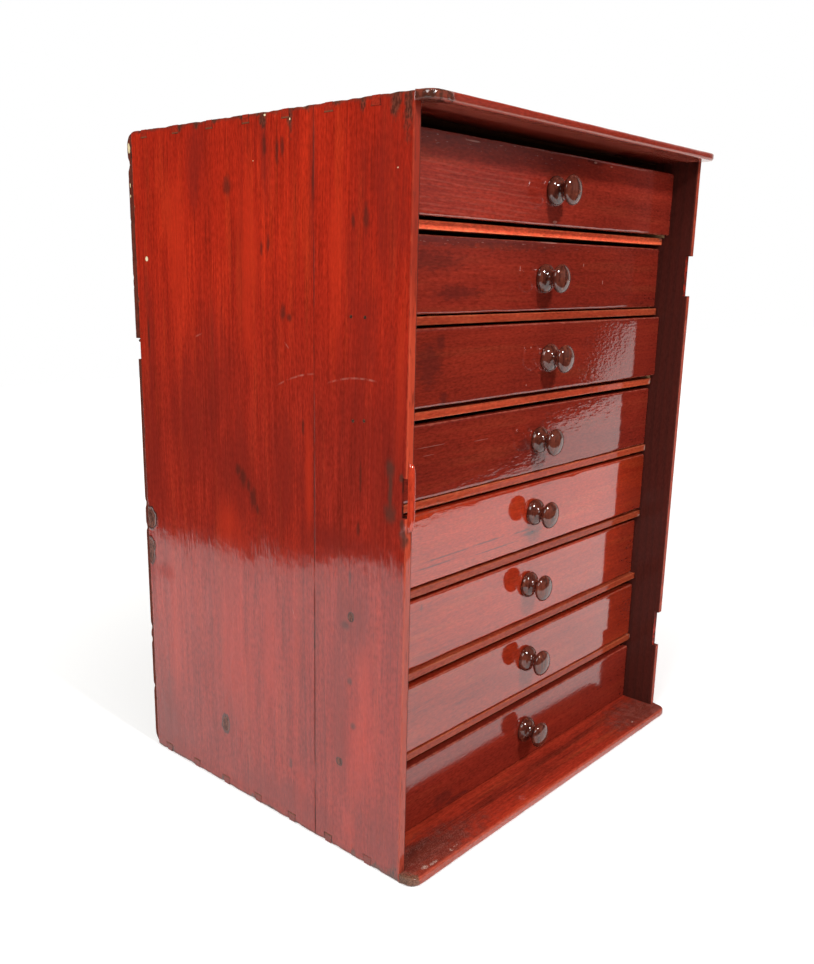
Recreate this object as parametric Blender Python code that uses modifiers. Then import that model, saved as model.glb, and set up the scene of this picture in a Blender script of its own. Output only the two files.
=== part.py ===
"""Collectors cabinet: a dovetailed pine case with eight sliding drawers, its door lost.

Metres, +Z up, +Y to the back. The origin is on the floor, under the middle of the case and its lips.
"""
import math

import bmesh
import bpy
from mathutils import Matrix, Vector

# Case boards
CASE_WIDTH = 0.420
CASE_HEIGHT = 0.5745
CASE_DEPTH = 0.328  # front edges of the sides to the back of the case
SIDE_THICK = 0.0070
TOP_THICK = 0.0066
BOTTOM_THICK = 0.0076
BACK_THICK = 0.0064  # back panel, nailed over the back edges of the other boards
LIP = 0.0150  # top and bottom boards stand this far forward of the sides
LIP_CORNER = 0.0100  # plan radius of a lip's corners
LIP_NOSE = 0.0022  # round along a lip's front arrises
BACK_ROUND = 0.0125  # worn round along the top and bottom back edges
SIDE_ARRIS = 0.0015  # round on a side's outer front arris

# Dovetails that join the sides to the top and bottom
PIN_COUNT = 7
PIN_NARROW = 0.0070  # pin width at the outer face
PIN_SLOPE = 1 / 6
FRONT_TAIL = 0.0340  # front edge of a side to the middle of the first pin
REAR_TAIL = 0.0196  # back edge of a side to the middle of the last pin

# Bays, one for each drawer: how far those from the second down differ from an even height
BAY_TRIMS = (-0.0029, -0.0010, -0.0017, -0.0002, -0.0013, -0.0007, 0.0024)  # the top bay takes the rest
DIVIDER_THICK = 0.0064
DIVIDER_SETBACK = 0.0315  # front edge of a side to a divider's front
DIVIDER_ARRIS = 0.0006
HOUSING_DEPTH = 0.0020  # dividers are let into the sides

# Marks of the lost door: hinge notches in the right side, lock mortise in the left side
HINGE_LENGTH = 0.0380
HINGE_DEPTH = 0.0047
HINGE_FROM_TOP = 0.0935
HINGE_FROM_BOTTOM = 0.0755
LOCK_MIDDLE = 0.3068  # height of the mortise's middle
LOCK_LENGTH = 0.0290
LOCK_DEPTH = 0.0140
LOCK_WALL = 0.0016  # outer wall left beside the mortise
LOCK_BREAK = 0.0040  # that wall is broken away this far behind the front edge
KEEPER_LENGTH = 0.0495  # wooden strip over the mortise
KEEPER_WIDTH = 0.0056
KEEPER_INSET = 0.0012  # outer face of the side to the strip's flank
KEEPER_THICK = 0.0040
KEEPER_TIP = 0.0012  # thickness at the strip's ends
KEEPER_TAPER = 0.0080
KEEPER_ARRIS = 0.0016
KEEPER_ROOT = 0.0006  # depth of the strip's glue joint in the side

# Damage to the back panel's left edge
CHIP_BOTTOM = 0.3810
CHIP_LENGTH = 0.0190
CHIP_DEPTH = 0.0050
CHIP_SLANT = 0.0030
SHRINKAGE = 0.0020  # the panel has drawn in this far below the chip

# Drawers, first to eighth from the top
REST_PULLS = (0.0128, 0.0034, 0.0096, 0.0045, 0.0052, 0.0007, 0.0037, 0.0036)
FRONT_LIFTS = (0.0024, 0.0014, 0.0034, 0.0008, 0.0026, 0.0007, 0.0007, 0.0008)
FRONT_HEADROOMS = (0.0097, 0.0036, 0.0018, 0.0036, 0.0032, 0.0046, 0.0059, 0.0069)
KNOB_SHIFTS = (-0.0080, -0.0025, 0.0010, 0.0007, -0.0015, 0.0020, 0.0010, 0.0055)
KNOB_RISES = (-0.0015, -0.0015, -0.0005, -0.0010, 0.0030, 0.0050, 0.0040, 0.0020)
CLOSED_SETBACK = 0.0355  # front edge of a side to a closed drawer's face
DRAWER_CLEARANCE = 0.0010  # running gap at each side of a drawer
STOP_GAP = 0.0005  # closed drawer to the back panel
FRONT_THICK = 0.0100
FRONT_ARRIS = 0.0009
FRONT_LAP = 0.0050  # wood left in front of a drawer side's end
WALL_THICK = 0.0055  # drawer sides and back
WALL_DROP = 0.0030  # top of a drawer front to the top of its sides
BACK_DROP = 0.0020  # top of a drawer's sides to the top of its back
PANEL_THICK = 0.0032  # drawer bottom
PANEL_RISE = 0.0034  # lower edge of a drawer front to its bottom panel
PANEL_HOUSING = 0.0025  # depth of the grooves that hold the bottom panel

# Turned knobs
KNOB_HEAD_DIAMETER = 0.0238
KNOB_HEAD_THICK = 0.0102
KNOB_NECK_DIAMETER = 0.0125
KNOB_BASE_DIAMETER = 0.0244
KNOB_BASE_THICK = 0.0092
KNOB_RING = 0.0012  # drawer front to the base's widest ring
KNOB_FOOT_INSET = 0.0006  # the base draws in this far from its widest ring to the drawer front
KNOB_PROJECTION = 0.0222
SPIGOT_DIAMETER = 0.0080
SPIGOT_LENGTH = 0.0070
KNOB_WAIST_ANGLE = 46  # degrees past the widest ring where the head and the base run into the neck
KNOB_STEPS = 24
KNOB_ARC_STEPS = 6

# Fits
GAP = 0.0003  # between pieces that touch
OVERSHOOT = 0.0020  # cutters reach this far past the wood
WELD = 0.00001
FLAT_ANGLE = math.radians(0.5)  # faces this close to one plane become one face
FILLET_LIMIT = 0.9  # largest share of its wall that a round may take
ARRIS_STEPS = 2
ROUND_STEPS = 4

# Places worked out from the sizes
HALF_WIDTH = CASE_WIDTH / 2
BACK_Y = (CASE_DEPTH + LIP) / 2
EDGE_Y = BACK_Y - CASE_DEPTH  # front edges of the sides
LIP_Y = EDGE_Y - LIP
SIDE_DEPTH = CASE_DEPTH - BACK_THICK
BOARD_END = EDGE_Y + SIDE_DEPTH  # back edges of the sides, top and bottom
INNER_X = HALF_WIDTH - SIDE_THICK
CEILING = CASE_HEIGHT - TOP_THICK
DRAWER_HALF = INNER_X - DRAWER_CLEARANCE
DRAWER_LENGTH = CASE_DEPTH - CLOSED_SETBACK - BACK_THICK - STOP_GAP
WALL_X = DRAWER_HALF - WALL_THICK  # inner face of a drawer's side

parts = None
cutters = None


def clear_scene():
    for item in list(bpy.data.objects):
        bpy.data.objects.remove(item, do_unlink=True)


def new_collection(name):
    made = bpy.data.collections.new(name)
    bpy.context.scene.collection.children.link(made)
    return made


def wood(name, colour, roughness):
    made = bpy.data.materials.new(name)
    made.use_nodes = True
    shader = made.node_tree.nodes["Principled BSDF"]
    shader.inputs["Base Color"].default_value = (*colour, 1)
    shader.inputs["Roughness"].default_value = roughness
    shader.inputs["Metallic"].default_value = 0
    return made


def box(low, high):
    """Box between two corners, as a bmesh."""
    low = Vector(low)
    high = Vector(high)
    shape = bmesh.new()
    bmesh.ops.create_cube(shape, size=1)
    bmesh.ops.scale(shape, vec=high - low, verts=shape.verts)
    bmesh.ops.translate(shape, vec=(high + low) / 2, verts=shape.verts)
    return shape


def boxes(corners):
    """Several separate boxes in one bmesh."""
    joined = bmesh.new()
    for low, high in corners:
        single = box(low, high)
        mesh = finish_mesh("single_box", single)
        joined.from_mesh(mesh)
        bpy.data.meshes.remove(mesh)
    return joined


def finish_mesh(name, shape):
    mesh = bpy.data.meshes.new(name)
    shape.to_mesh(mesh)
    shape.free()
    return mesh


def prism(outlines, axis, low, high):
    """Flat outlines filled and extruded along X (points are y, z) or along Y (points are x, z)."""
    curve = bpy.data.curves.new("outline", "CURVE")
    curve.dimensions = "2D"
    curve.fill_mode = "BOTH"
    curve.extrude = (high - low) / 2
    for outline in outlines:
        spline = curve.splines.new("POLY")
        spline.points.add(len(outline) - 1)
        for point, place in zip(spline.points, outline):
            point.co = (*place, 0, 1)
        spline.use_cyclic_u = True
    holder = bpy.data.objects.new("outline", curve)
    cutters.objects.link(holder)
    view = bpy.context.evaluated_depsgraph_get()
    mesh = bpy.data.meshes.new_from_object(holder.evaluated_get(view))
    bpy.data.objects.remove(holder, do_unlink=True)
    middle = (low + high) / 2
    if axis == "X":
        turn = Matrix(((0, 0, 1, middle), (1, 0, 0, 0), (0, 1, 0, 0), (0, 0, 0, 1)))
    else:
        turn = Matrix(((1, 0, 0, 0), (0, 0, -1, middle), (0, 1, 0, 0), (0, 0, 0, 1)))
    mesh.transform(turn)
    shape = bmesh.new()
    shape.from_mesh(mesh)
    bpy.data.meshes.remove(mesh)
    bmesh.ops.remove_doubles(shape, verts=shape.verts, dist=WELD)
    bmesh.ops.dissolve_limit(shape, angle_limit=FLAT_ANGLE, verts=shape.verts, edges=shape.edges)
    bmesh.ops.recalc_face_normals(shape, faces=shape.faces)
    return shape


def round_edges(shape, chosen, radius, steps):
    bmesh.ops.bevel(shape, geom=chosen, offset=radius, segments=steps, profile=0.5, affect="EDGES")


def edges_where(shape, test):
    return [edge for edge in shape.edges if all(test(vertex.co) for vertex in edge.verts)]


def add_part(name, shape, material, location=(0, 0, 0), parent=None):
    made = bpy.data.objects.new(name, finish_mesh(name, shape))
    made.data.materials.append(material)
    made.location = location
    made.parent = parent
    parts.objects.link(made)
    return made


def add_cutter(name, shape):
    made = bpy.data.objects.new(name, finish_mesh(name, shape))
    made.hide_render = True
    made.display_type = "WIRE"
    cutters.objects.link(made)
    return made


def combine(target, tool, operation="DIFFERENCE"):
    change = target.modifiers.new(tool.name, "BOOLEAN")
    change.operation = operation
    change.solver = "EXACT"
    change.object = tool


def near(value, target):
    return abs(value - target) < WELD


# Dovetails


def pin_middles():
    pitch = (SIDE_DEPTH - FRONT_TAIL - REAR_TAIL) / (PIN_COUNT - 1)
    return [EDGE_Y + FRONT_TAIL + pitch * index for index in range(PIN_COUNT)]


def pin_half(depth):
    """Half of a pin's width at a depth below the outer face."""
    return PIN_NARROW / 2 + PIN_SLOPE * depth


def tail_sockets(outer_z, thick, down):
    """Outlines of the room for the sides' tails in a top (down=-1) or bottom (down=1) board."""
    shallow = -OVERSHOOT
    deep = thick + OVERSHOOT
    middles = pin_middles()
    outlines = []
    for index in range(PIN_COUNT + 1):
        outline = []
        for depth in (shallow, deep):
            z = outer_z + down * depth
            start = EDGE_Y - GAP
            end = BOARD_END + OVERSHOOT
            if index > 0:
                start = middles[index - 1] + pin_half(depth) - GAP
            if index < PIN_COUNT:
                end = middles[index] - pin_half(depth) + GAP
            outline.append((start, end, z))
        (start_a, end_a, z_a), (start_b, end_b, z_b) = outline
        outlines.append([(start_a, z_a), (end_a, z_a), (end_b, z_b), (start_b, z_b)])
    return outlines


def pin_slots(outer_z, thick, down):
    """Outlines of the slots for the pins in one end of a side."""
    shallow = -OVERSHOOT
    deep = thick + GAP
    outlines = []
    for middle in pin_middles():
        outline = []
        for depth, hand in ((shallow, -1), (shallow, 1), (deep, 1), (deep, -1)):
            outline.append((middle + hand * pin_half(depth), outer_z + down * depth))
        outlines.append(outline)
    return outlines


# Marks of the lost door


def hinge_notches():
    """Two notches in the right side's front edge."""
    corners = []
    for low in (HINGE_FROM_BOTTOM, CASE_HEIGHT - HINGE_FROM_TOP - HINGE_LENGTH):
        start = (INNER_X - OVERSHOOT, EDGE_Y - OVERSHOOT, low)
        end = (HALF_WIDTH + OVERSHOOT, EDGE_Y + HINGE_DEPTH, low + HINGE_LENGTH)
        corners.append((start, end))
    return boxes(corners)


def lock_cut(start_x, depth):
    """Cut for the lock in the left side's front edge, from start_x through to the inside."""
    low = (start_x, EDGE_Y - OVERSHOOT, LOCK_MIDDLE - LOCK_LENGTH / 2)
    high = (-INNER_X + OVERSHOOT, EDGE_Y + depth, LOCK_MIDDLE + LOCK_LENGTH / 2)
    return box(low, high)


# Bays


def bay_heights():
    """Height of each bay, top bay first."""
    count = len(BAY_TRIMS) + 1
    clear = CEILING - BOTTOM_THICK - (count - 1) * DIVIDER_THICK
    lower = [clear / count + trim for trim in BAY_TRIMS]
    return [clear - sum(lower), *lower]


def bay_floors():
    """Height of each bay's floor, top bay first."""
    floors = []
    ceiling = CEILING
    for height in bay_heights():
        floors.append(ceiling - height)
        ceiling = floors[-1] - DIVIDER_THICK
    return floors


# Case


def side_board(name, hand, corner_cutter, material):
    """A side, hand -1 on the left and 1 on the right: tails at both ends, housings for the dividers."""
    outer = hand * HALF_WIDTH
    inner = hand * INNER_X
    shape = box((min(outer, inner), EDGE_Y, 0), (max(outer, inner), BOARD_END, CASE_HEIGHT))
    arris = edges_where(shape, lambda at: near(at.y, EDGE_Y) and near(at.x, outer))
    round_edges(shape, arris, SIDE_ARRIS, ARRIS_STEPS)
    side = add_part(name, shape, material)
    outlines = pin_slots(0, BOTTOM_THICK, 1) + pin_slots(CASE_HEIGHT, TOP_THICK, -1)
    x_span = sorted((outer + hand * OVERSHOOT, inner - hand * OVERSHOOT))
    combine(side, add_cutter(name + "_pins", prism(outlines, "X", *x_span)))
    housings = []
    for floor in bay_floors()[:-1]:
        x_span = sorted((inner - hand * OVERSHOOT, inner + hand * HOUSING_DEPTH))
        low = (x_span[0], EDGE_Y + DIVIDER_SETBACK - GAP, floor - DIVIDER_THICK - GAP)
        high = (x_span[1], BOARD_END + OVERSHOOT, floor + GAP)
        housings.append((low, high))
    combine(side, add_cutter(name + "_housings", boxes(housings)))
    combine(side, corner_cutter)
    return side


def keeper_shape():
    """Boat-shaped strip on the left side's front edge, over the lock mortise."""
    half = KEEPER_LENGTH / 2
    root = EDGE_Y + KEEPER_ROOT
    tip = EDGE_Y - KEEPER_TIP
    face = EDGE_Y - KEEPER_THICK
    outline = [
        (root, LOCK_MIDDLE - half),
        (root, LOCK_MIDDLE + half),
        (tip, LOCK_MIDDLE + half),
        (face, LOCK_MIDDLE + half - KEEPER_TAPER),
        (face, LOCK_MIDDLE - half + KEEPER_TAPER),
        (tip, LOCK_MIDDLE - half),
    ]
    flank = -HALF_WIDTH + KEEPER_INSET
    shape = prism([outline], "X", flank, flank + KEEPER_WIDTH)
    front = edges_where(shape, lambda at: at.y < tip + WELD)
    ridges = [edge for edge in front if near(edge.verts[0].co.x, edge.verts[1].co.x)]
    round_edges(shape, ridges, KEEPER_ARRIS, ARRIS_STEPS)
    return shape


def left_side(corner_cutter, material):
    side = side_board("left_side", -1, corner_cutter, material)
    mortise = lock_cut(-HALF_WIDTH + LOCK_WALL, LOCK_DEPTH)
    broken_wall = lock_cut(-HALF_WIDTH - OVERSHOOT, LOCK_BREAK)
    combine(side, add_cutter("lock_mortise", mortise))
    combine(side, add_cutter("broken_lock_wall", broken_wall))
    combine(side, add_cutter("keeper_strip", keeper_shape()), "UNION")


def right_side(corner_cutter, material):
    side = side_board("right_side", 1, corner_cutter, material)
    combine(side, add_cutter("hinge_notches", hinge_notches()))


def lipped_board(name, low_z, thick, outer_z, down, corner_cutter, material):
    """Top or bottom board: rounded lip in front, pins between the sides' tails at both ends."""
    high_z = low_z + thick
    shape = box((-HALF_WIDTH, LIP_Y, low_z), (HALF_WIDTH, BOARD_END, high_z))
    everything = [*shape.verts, *shape.edges, *shape.faces]
    bmesh.ops.bisect_plane(shape, geom=everything, plane_co=(0, EDGE_Y, 0), plane_no=(0, 1, 0))
    corners = edges_where(shape, lambda at: near(at.y, LIP_Y))
    corners = [edge for edge in corners if not near(edge.verts[0].co.z, edge.verts[1].co.z)]
    round_edges(shape, corners, min(LIP_CORNER, LIP * FILLET_LIMIT), ROUND_STEPS)
    lip_edges = edges_where(shape, lambda at: at.y < EDGE_Y + WELD)
    nose = []
    for edge in lip_edges:
        first, second = (vertex.co for vertex in edge.verts)
        level = near(first.z, second.z)
        split = near(first.y, EDGE_Y) and near(second.y, EDGE_Y)
        if level and not split:
            nose.append(edge)
    round_edges(shape, nose, min(LIP_NOSE, thick / 2 * FILLET_LIMIT), ROUND_STEPS)
    board = add_part(name, shape, material)
    outlines = tail_sockets(outer_z, thick, down)
    inner = INNER_X - GAP
    outer = HALF_WIDTH + OVERSHOOT
    combine(board, add_cutter(name + "_left_tails", prism(outlines, "X", -outer, -inner)))
    combine(board, add_cutter(name + "_right_tails", prism(outlines, "X", inner, outer)))
    combine(board, corner_cutter)


def back_corners():
    """What is worn off the case along its top and bottom back edges."""
    past = BACK_Y + OVERSHOOT
    middle_y = BACK_Y - BACK_ROUND
    outlines = []
    for level, up in ((0, 1), (CASE_HEIGHT, -1)):
        outline = [(middle_y, level - up * OVERSHOOT)]
        for step in range(ROUND_STEPS + 1):
            angle = math.radians(90) * step / ROUND_STEPS
            rise = BACK_ROUND * (1 - math.cos(angle))
            outline.append((middle_y + BACK_ROUND * math.sin(angle), level + up * rise))
        outline += [(past, level + up * BACK_ROUND), (past, level - up * OVERSHOOT)]
        outlines.append(outline)
    reach = HALF_WIDTH + OVERSHOOT
    return prism(outlines, "X", -reach, reach)


def back_panel(corner_cutter, material):
    """Panel over the back edges of the other boards, its left edge chipped and drawn in."""
    chip_top = CHIP_BOTTOM + CHIP_LENGTH
    left = -HALF_WIDTH
    outline = [
        (HALF_WIDTH, 0),
        (HALF_WIDTH, CASE_HEIGHT),
        (left, CASE_HEIGHT),
        (left, chip_top),
        (left + CHIP_DEPTH, chip_top),
        (left + CHIP_DEPTH, CHIP_BOTTOM + CHIP_SLANT),
        (left + SHRINKAGE, CHIP_BOTTOM),
        (left + SHRINKAGE, 0),
    ]
    panel = add_part("back_panel", prism([outline], "Y", BOARD_END + GAP, BACK_Y), material)
    combine(panel, corner_cutter)


def dividers(material):
    half = INNER_X + HOUSING_DEPTH - GAP
    front = EDGE_Y + DIVIDER_SETBACK
    for index, floor in enumerate(bay_floors()[:-1]):
        shape = box((-half, front, floor - DIVIDER_THICK), (half, BOARD_END, floor))
        lip = edges_where(shape, lambda at: near(at.y, front))
        lip = [edge for edge in lip if near(edge.verts[0].co.z, edge.verts[1].co.z)]
        round_edges(shape, lip, DIVIDER_ARRIS, 1)
        add_part(f"divider_{index + 1}", shape, material)


# Drawers. Each is built round its own origin: the middle of its face, at its running level.


def drawer_front(name, lift, top, place, knob_at, material):
    low = (-DRAWER_HALF, 0, lift)
    high = (DRAWER_HALF, FRONT_THICK, top)
    shape = box(low, high)
    round_edges(shape, edges_where(shape, lambda at: near(at.y, 0)), FRONT_ARRIS, ARRIS_STEPS)
    front = add_part(name, shape, material, place)
    behind = FRONT_THICK + OVERSHOOT
    rebates = []
    for hand in (-1, 1):
        span = sorted((hand * (WALL_X - GAP), hand * (DRAWER_HALF + OVERSHOOT)))
        rebates.append(((span[0], FRONT_LAP, lift - OVERSHOOT), (span[1], behind, top + OVERSHOOT)))
    groove_low = (-WALL_X, FRONT_THICK - PANEL_HOUSING, lift + PANEL_RISE - GAP)
    groove_high = (WALL_X, behind, lift + PANEL_RISE + PANEL_THICK + GAP)
    bore = bmesh.new()
    depth = SPIGOT_LENGTH + GAP + OVERSHOOT
    radius = SPIGOT_DIAMETER / 2 + GAP
    turn = Matrix.Rotation(math.radians(90), 4, "X")
    place_bore = Matrix.Translation((knob_at[0], depth / 2 - OVERSHOOT, knob_at[1])) @ turn
    bmesh.ops.create_cone(
        bore,
        cap_ends=True,
        segments=KNOB_STEPS,
        radius1=radius,
        radius2=radius,
        depth=depth,
        matrix=place_bore,
    )
    tools = (("rebates", boxes(rebates)), ("groove", box(groove_low, groove_high)), ("bore", bore))
    for kind, tool_shape in tools:
        tool = add_cutter(f"{name}_{kind}", tool_shape)
        tool.location = place
        combine(front, tool)
    return front


def drawer_wall(name, hand, lift, top, front, material):
    """A drawer's side: a grooved board, lapped behind the front."""
    groove_low = lift + PANEL_RISE - GAP
    groove_high = lift + PANEL_RISE + PANEL_THICK + GAP
    outer = hand * DRAWER_HALF
    inner = hand * WALL_X
    deep = hand * (WALL_X + PANEL_HOUSING)
    outline = [
        (outer, 0),
        (outer, top),
        (inner, top),
        (inner, groove_high),
        (deep, groove_high),
        (deep, groove_low),
        (inner, groove_low),
        (inner, 0),
    ]
    add_part(name, prism([outline], "Y", FRONT_LAP + GAP, DRAWER_LENGTH), material, parent=front)


def drawer_back(name, lift, top, front, material):
    half = WALL_X - GAP
    low = (-half, DRAWER_LENGTH - WALL_THICK, lift + PANEL_RISE + PANEL_THICK + GAP)
    add_part(name, box(low, (half, DRAWER_LENGTH, top)), material, parent=front)


def drawer_bottom(name, lift, front, material):
    """Bottom panel, held in the grooves of the front and the sides."""
    half = WALL_X + PANEL_HOUSING - GAP
    start = FRONT_THICK - PANEL_HOUSING + GAP
    low_z = lift + PANEL_RISE
    panel = box((-half, start, low_z), (half, DRAWER_LENGTH, low_z + PANEL_THICK))
    add_part(name, panel, material, parent=front)


def arc(radius, half_height, middle, start, end):
    """Points of an elliptic arc in a half outline, between two angles above the widest ring."""
    points = []
    for step in range(KNOB_ARC_STEPS + 1):
        angle = math.radians(start + (end - start) * step / KNOB_ARC_STEPS)
        points.append((radius * math.cos(angle), middle + half_height * math.sin(angle)))
    return points


def knob_profile():
    """Half outline of a knob, from the crown of its head down to the end of its spigot."""
    head_half = KNOB_HEAD_THICK / 2
    head_middle = KNOB_PROJECTION - head_half
    base_radius = KNOB_BASE_DIAMETER / 2
    head = arc(KNOB_HEAD_DIAMETER / 2, head_half, head_middle, 90, -KNOB_WAIST_ANGLE)
    base = arc(base_radius, KNOB_BASE_THICK - KNOB_RING, KNOB_RING, KNOB_WAIST_ANGLE, 0)
    neck = (KNOB_NECK_DIAMETER / 2, (head_middle - head_half + KNOB_BASE_THICK) / 2)
    foot = (base_radius - KNOB_FOOT_INSET, 0)
    spigot = SPIGOT_DIAMETER / 2
    shoulder = [(spigot + GAP, 0), (spigot, -GAP)]
    tip = [(spigot, -SPIGOT_LENGTH), (0, -SPIGOT_LENGTH)]
    return [(0, KNOB_PROJECTION), *head[1:], neck, *base, foot, *shoulder, *tip]


def knob_mesh():
    shape = bmesh.new()
    rim = [shape.verts.new((radius, 0, height)) for radius, height in knob_profile()]
    for first, second in zip(rim, rim[1:]):
        shape.edges.new((first, second))
    return finish_mesh("knob_profile", shape)


def drawer_knob(name, mesh, knob_at, front, material):
    knob = bpy.data.objects.new(name, mesh)
    if not mesh.materials:
        mesh.materials.append(material)
    knob.parent = front
    knob.location = (knob_at[0], -GAP, knob_at[1])
    knob.rotation_euler = (math.radians(90), 0, 0)
    turned = knob.modifiers.new("turning", "SCREW")
    turned.axis = "Z"
    turned.angle = math.radians(360)
    turned.steps = KNOB_STEPS
    turned.render_steps = KNOB_STEPS
    turned.use_merge_vertices = True
    turned.merge_threshold = WELD
    turned.use_smooth_shade = True
    parts.objects.link(knob)


def drawer(index, floor, bay_height, shared_knob, face_wood, box_wood, knob_wood):
    name = f"drawer_{index + 1}"
    lift = FRONT_LIFTS[index] - GAP
    top = bay_height - GAP - FRONT_HEADROOMS[index]
    knob_at = (KNOB_SHIFTS[index], (lift + top) / 2 + KNOB_RISES[index])
    place = (0, EDGE_Y + CLOSED_SETBACK - REST_PULLS[index], floor + GAP)
    front = drawer_front(name + "_front", lift, top, place, knob_at, face_wood)
    wall_top = top - WALL_DROP
    drawer_wall(name + "_left_side", -1, lift, wall_top, front, box_wood)
    drawer_wall(name + "_right_side", 1, lift, wall_top, front, box_wood)
    drawer_back(name + "_back", lift, wall_top - BACK_DROP, front, box_wood)
    drawer_bottom(name + "_bottom", lift, front, box_wood)
    drawer_knob(name + "_knob", shared_knob, knob_at, front, knob_wood)


def main():
    global parts, cutters
    clear_scene()
    parts = new_collection("collectors_cabinet")
    cutters = new_collection("cutters")
    case_wood = wood("red_stained_pine", (0.36, 0.026, 0.011), 0.25)
    face_wood = wood("red_stained_drawer_face", (0.27, 0.020, 0.012), 0.20)
    back_wood = wood("dark_back_pine", (0.13, 0.05, 0.03), 0.55)
    box_wood = wood("bare_pine", (0.48, 0.28, 0.13), 0.65)
    knob_wood = wood("dark_turned_wood", (0.045, 0.011, 0.007), 0.15)
    corner_cutter = add_cutter("back_corners", back_corners())
    left_side(corner_cutter, case_wood)
    right_side(corner_cutter, case_wood)
    lipped_board("top_board", CEILING, TOP_THICK, CASE_HEIGHT, -1, corner_cutter, case_wood)
    lipped_board("bottom_board", 0, BOTTOM_THICK, 0, 1, corner_cutter, case_wood)
    back_panel(corner_cutter, back_wood)
    dividers(case_wood)
    shared_knob = knob_mesh()
    for index, (floor, height) in enumerate(zip(bay_floors(), bay_heights())):
        drawer(index, floor, height, shared_knob, face_wood, box_wood, knob_wood)


main()
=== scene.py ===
"""Looks of a collectors cabinet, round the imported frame: a red-stained pine case with eight drawers."""

import math

import bpy
import numpy as np
from mathutils import Matrix, Vector, noise


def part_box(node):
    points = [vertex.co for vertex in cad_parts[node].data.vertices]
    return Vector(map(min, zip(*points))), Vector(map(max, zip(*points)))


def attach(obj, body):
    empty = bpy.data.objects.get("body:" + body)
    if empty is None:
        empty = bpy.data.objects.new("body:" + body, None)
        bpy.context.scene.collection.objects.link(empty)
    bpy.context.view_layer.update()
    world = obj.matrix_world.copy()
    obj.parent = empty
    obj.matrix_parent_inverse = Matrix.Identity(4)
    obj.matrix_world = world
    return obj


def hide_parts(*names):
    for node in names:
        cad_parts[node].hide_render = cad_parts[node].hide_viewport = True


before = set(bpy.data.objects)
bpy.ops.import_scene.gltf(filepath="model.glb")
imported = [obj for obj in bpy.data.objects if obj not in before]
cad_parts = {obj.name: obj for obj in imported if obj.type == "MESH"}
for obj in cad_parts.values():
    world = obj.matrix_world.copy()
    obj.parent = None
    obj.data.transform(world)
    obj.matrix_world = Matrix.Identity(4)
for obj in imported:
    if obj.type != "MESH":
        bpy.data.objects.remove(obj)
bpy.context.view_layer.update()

# The case as the part gives it, in metres
HALF_WIDTH = 0.210
INNER_X = 0.203
LIP_Y = -0.1715
EDGE_Y = -0.1565  # front edges of the sides
BOARD_END = 0.1651  # back edges of the sides, top and bottom
BACK_Y = 0.1715
HEIGHT = 0.5745
TOP_THICK = 0.0066
BOTTOM_THICK = 0.0076
LIP_CORNER = 0.0100
LIP_NOSE = 0.0022
BACK_ROUND = 0.0125
DRAWERS = 8
BOX_PARTS = ("left_side", "right_side", "back", "bottom")
FIT = 0.0003  # gap between meshes that touch
FAR = 1.0  # past every piece

# Dovetails
PIN_COUNT = 7
PIN_FIRST = 0.0340  # front edge to the first pin's middle
PIN_SPAN = 0.268  # first pin's middle to the last one's
PIN_MIDDLES = [EDGE_Y + PIN_FIRST + step * PIN_SPAN / (PIN_COUNT - 1) for step in range(PIN_COUNT)]
PIN_HALF = 0.0035
PIN_SLOPE = 1 / 6
SPLAY_REACH = 0.0080
JOINT = 0.00006  # half of a joint line

# Cuts in the front edges of the sides, and the strip over the lock's cut
HINGE_DEPTH = 0.0047
HINGE_SPANS = ((0.0755, 0.1135), (0.4430, 0.4810))
LOCK_SPAN = (0.2923, 0.3213)
LOCK_DEPTH = 0.0140
LOCK_WALL = 0.0016
LOCK_BREAK = 0.0040
KEEPER_MIDDLE = 0.3068
KEEPER_HALF = 0.02475
KEEPER_THICK = 0.0040
KEEPER_LEFT = -0.2088
KEEPER_WIDTH = 0.0056

# Back panel: its left edge is chipped, drawn in below the chip, and nicked
CHIP_SPAN = (0.3810, 0.4000)
CHIP_DEPTH = 0.0050
SHRINKAGE = 0.0020
BACK_CRACK = ((-FAR, 0.1700, 0.3903), (FAR, FAR, 0.3908))  # a crack across the panel, as a cut
BACK_NICKS = (  # height and half length of each nick
    (0.549, 0.0035), (0.246, 0.0030), (0.223, 0.0025), (0.122, 0.0030), (0.109, 0.0022), (0.060, 0.0025),
)

# Drawer fronts and knobs
FRONT_ROUND = 0.0018  # worn to twice the part's
FRONT_LAP = 0.0050
WALL_X = 0.1965
PANEL_RISE = 0.0034
PANEL_THICK = 0.0032
PANEL_HOUSING = 0.0025
BORE = 0.0043
KNOB_HEAD = (0.0119, 0.0051)  # radius and half thickness
KNOB_BASE = (0.0120, 0.0012, 0.0082)  # radius, and how far its widest ring and its top stand out
KNOB_FOOT = 0.0115
KNOB_NECK = 0.0056
KNOB_WAIST = 46  # degrees past the widest ring where the head and the base run into the neck
KNOB_PROJECTION = 0.0222
SPIGOT = (0.0040, 0.0070)  # radius and length

# Nails: outline of a head, and places in the left side, behind the front edge and above the floor
NAIL = ((0, 0.0003), (0.0009, 0.00026), (0.0013, 0.0001), (0.0013, -0.0006), (0, -0.0006))
SIDE_NAILS = ((0.0557, 0.4303), (0.0420, 0.4303), (0.0530, 0.3561), (0.0420, 0.3574))
NAIL_ENDS = 0.030  # floor or top to the first nail of the back panel's sides
NAIL_RIM = 0.0045  # edge of the back panel to the nails of its sides
NAIL_RISE = 0.0120  # edge of the back panel to the nails of its ends

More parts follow.
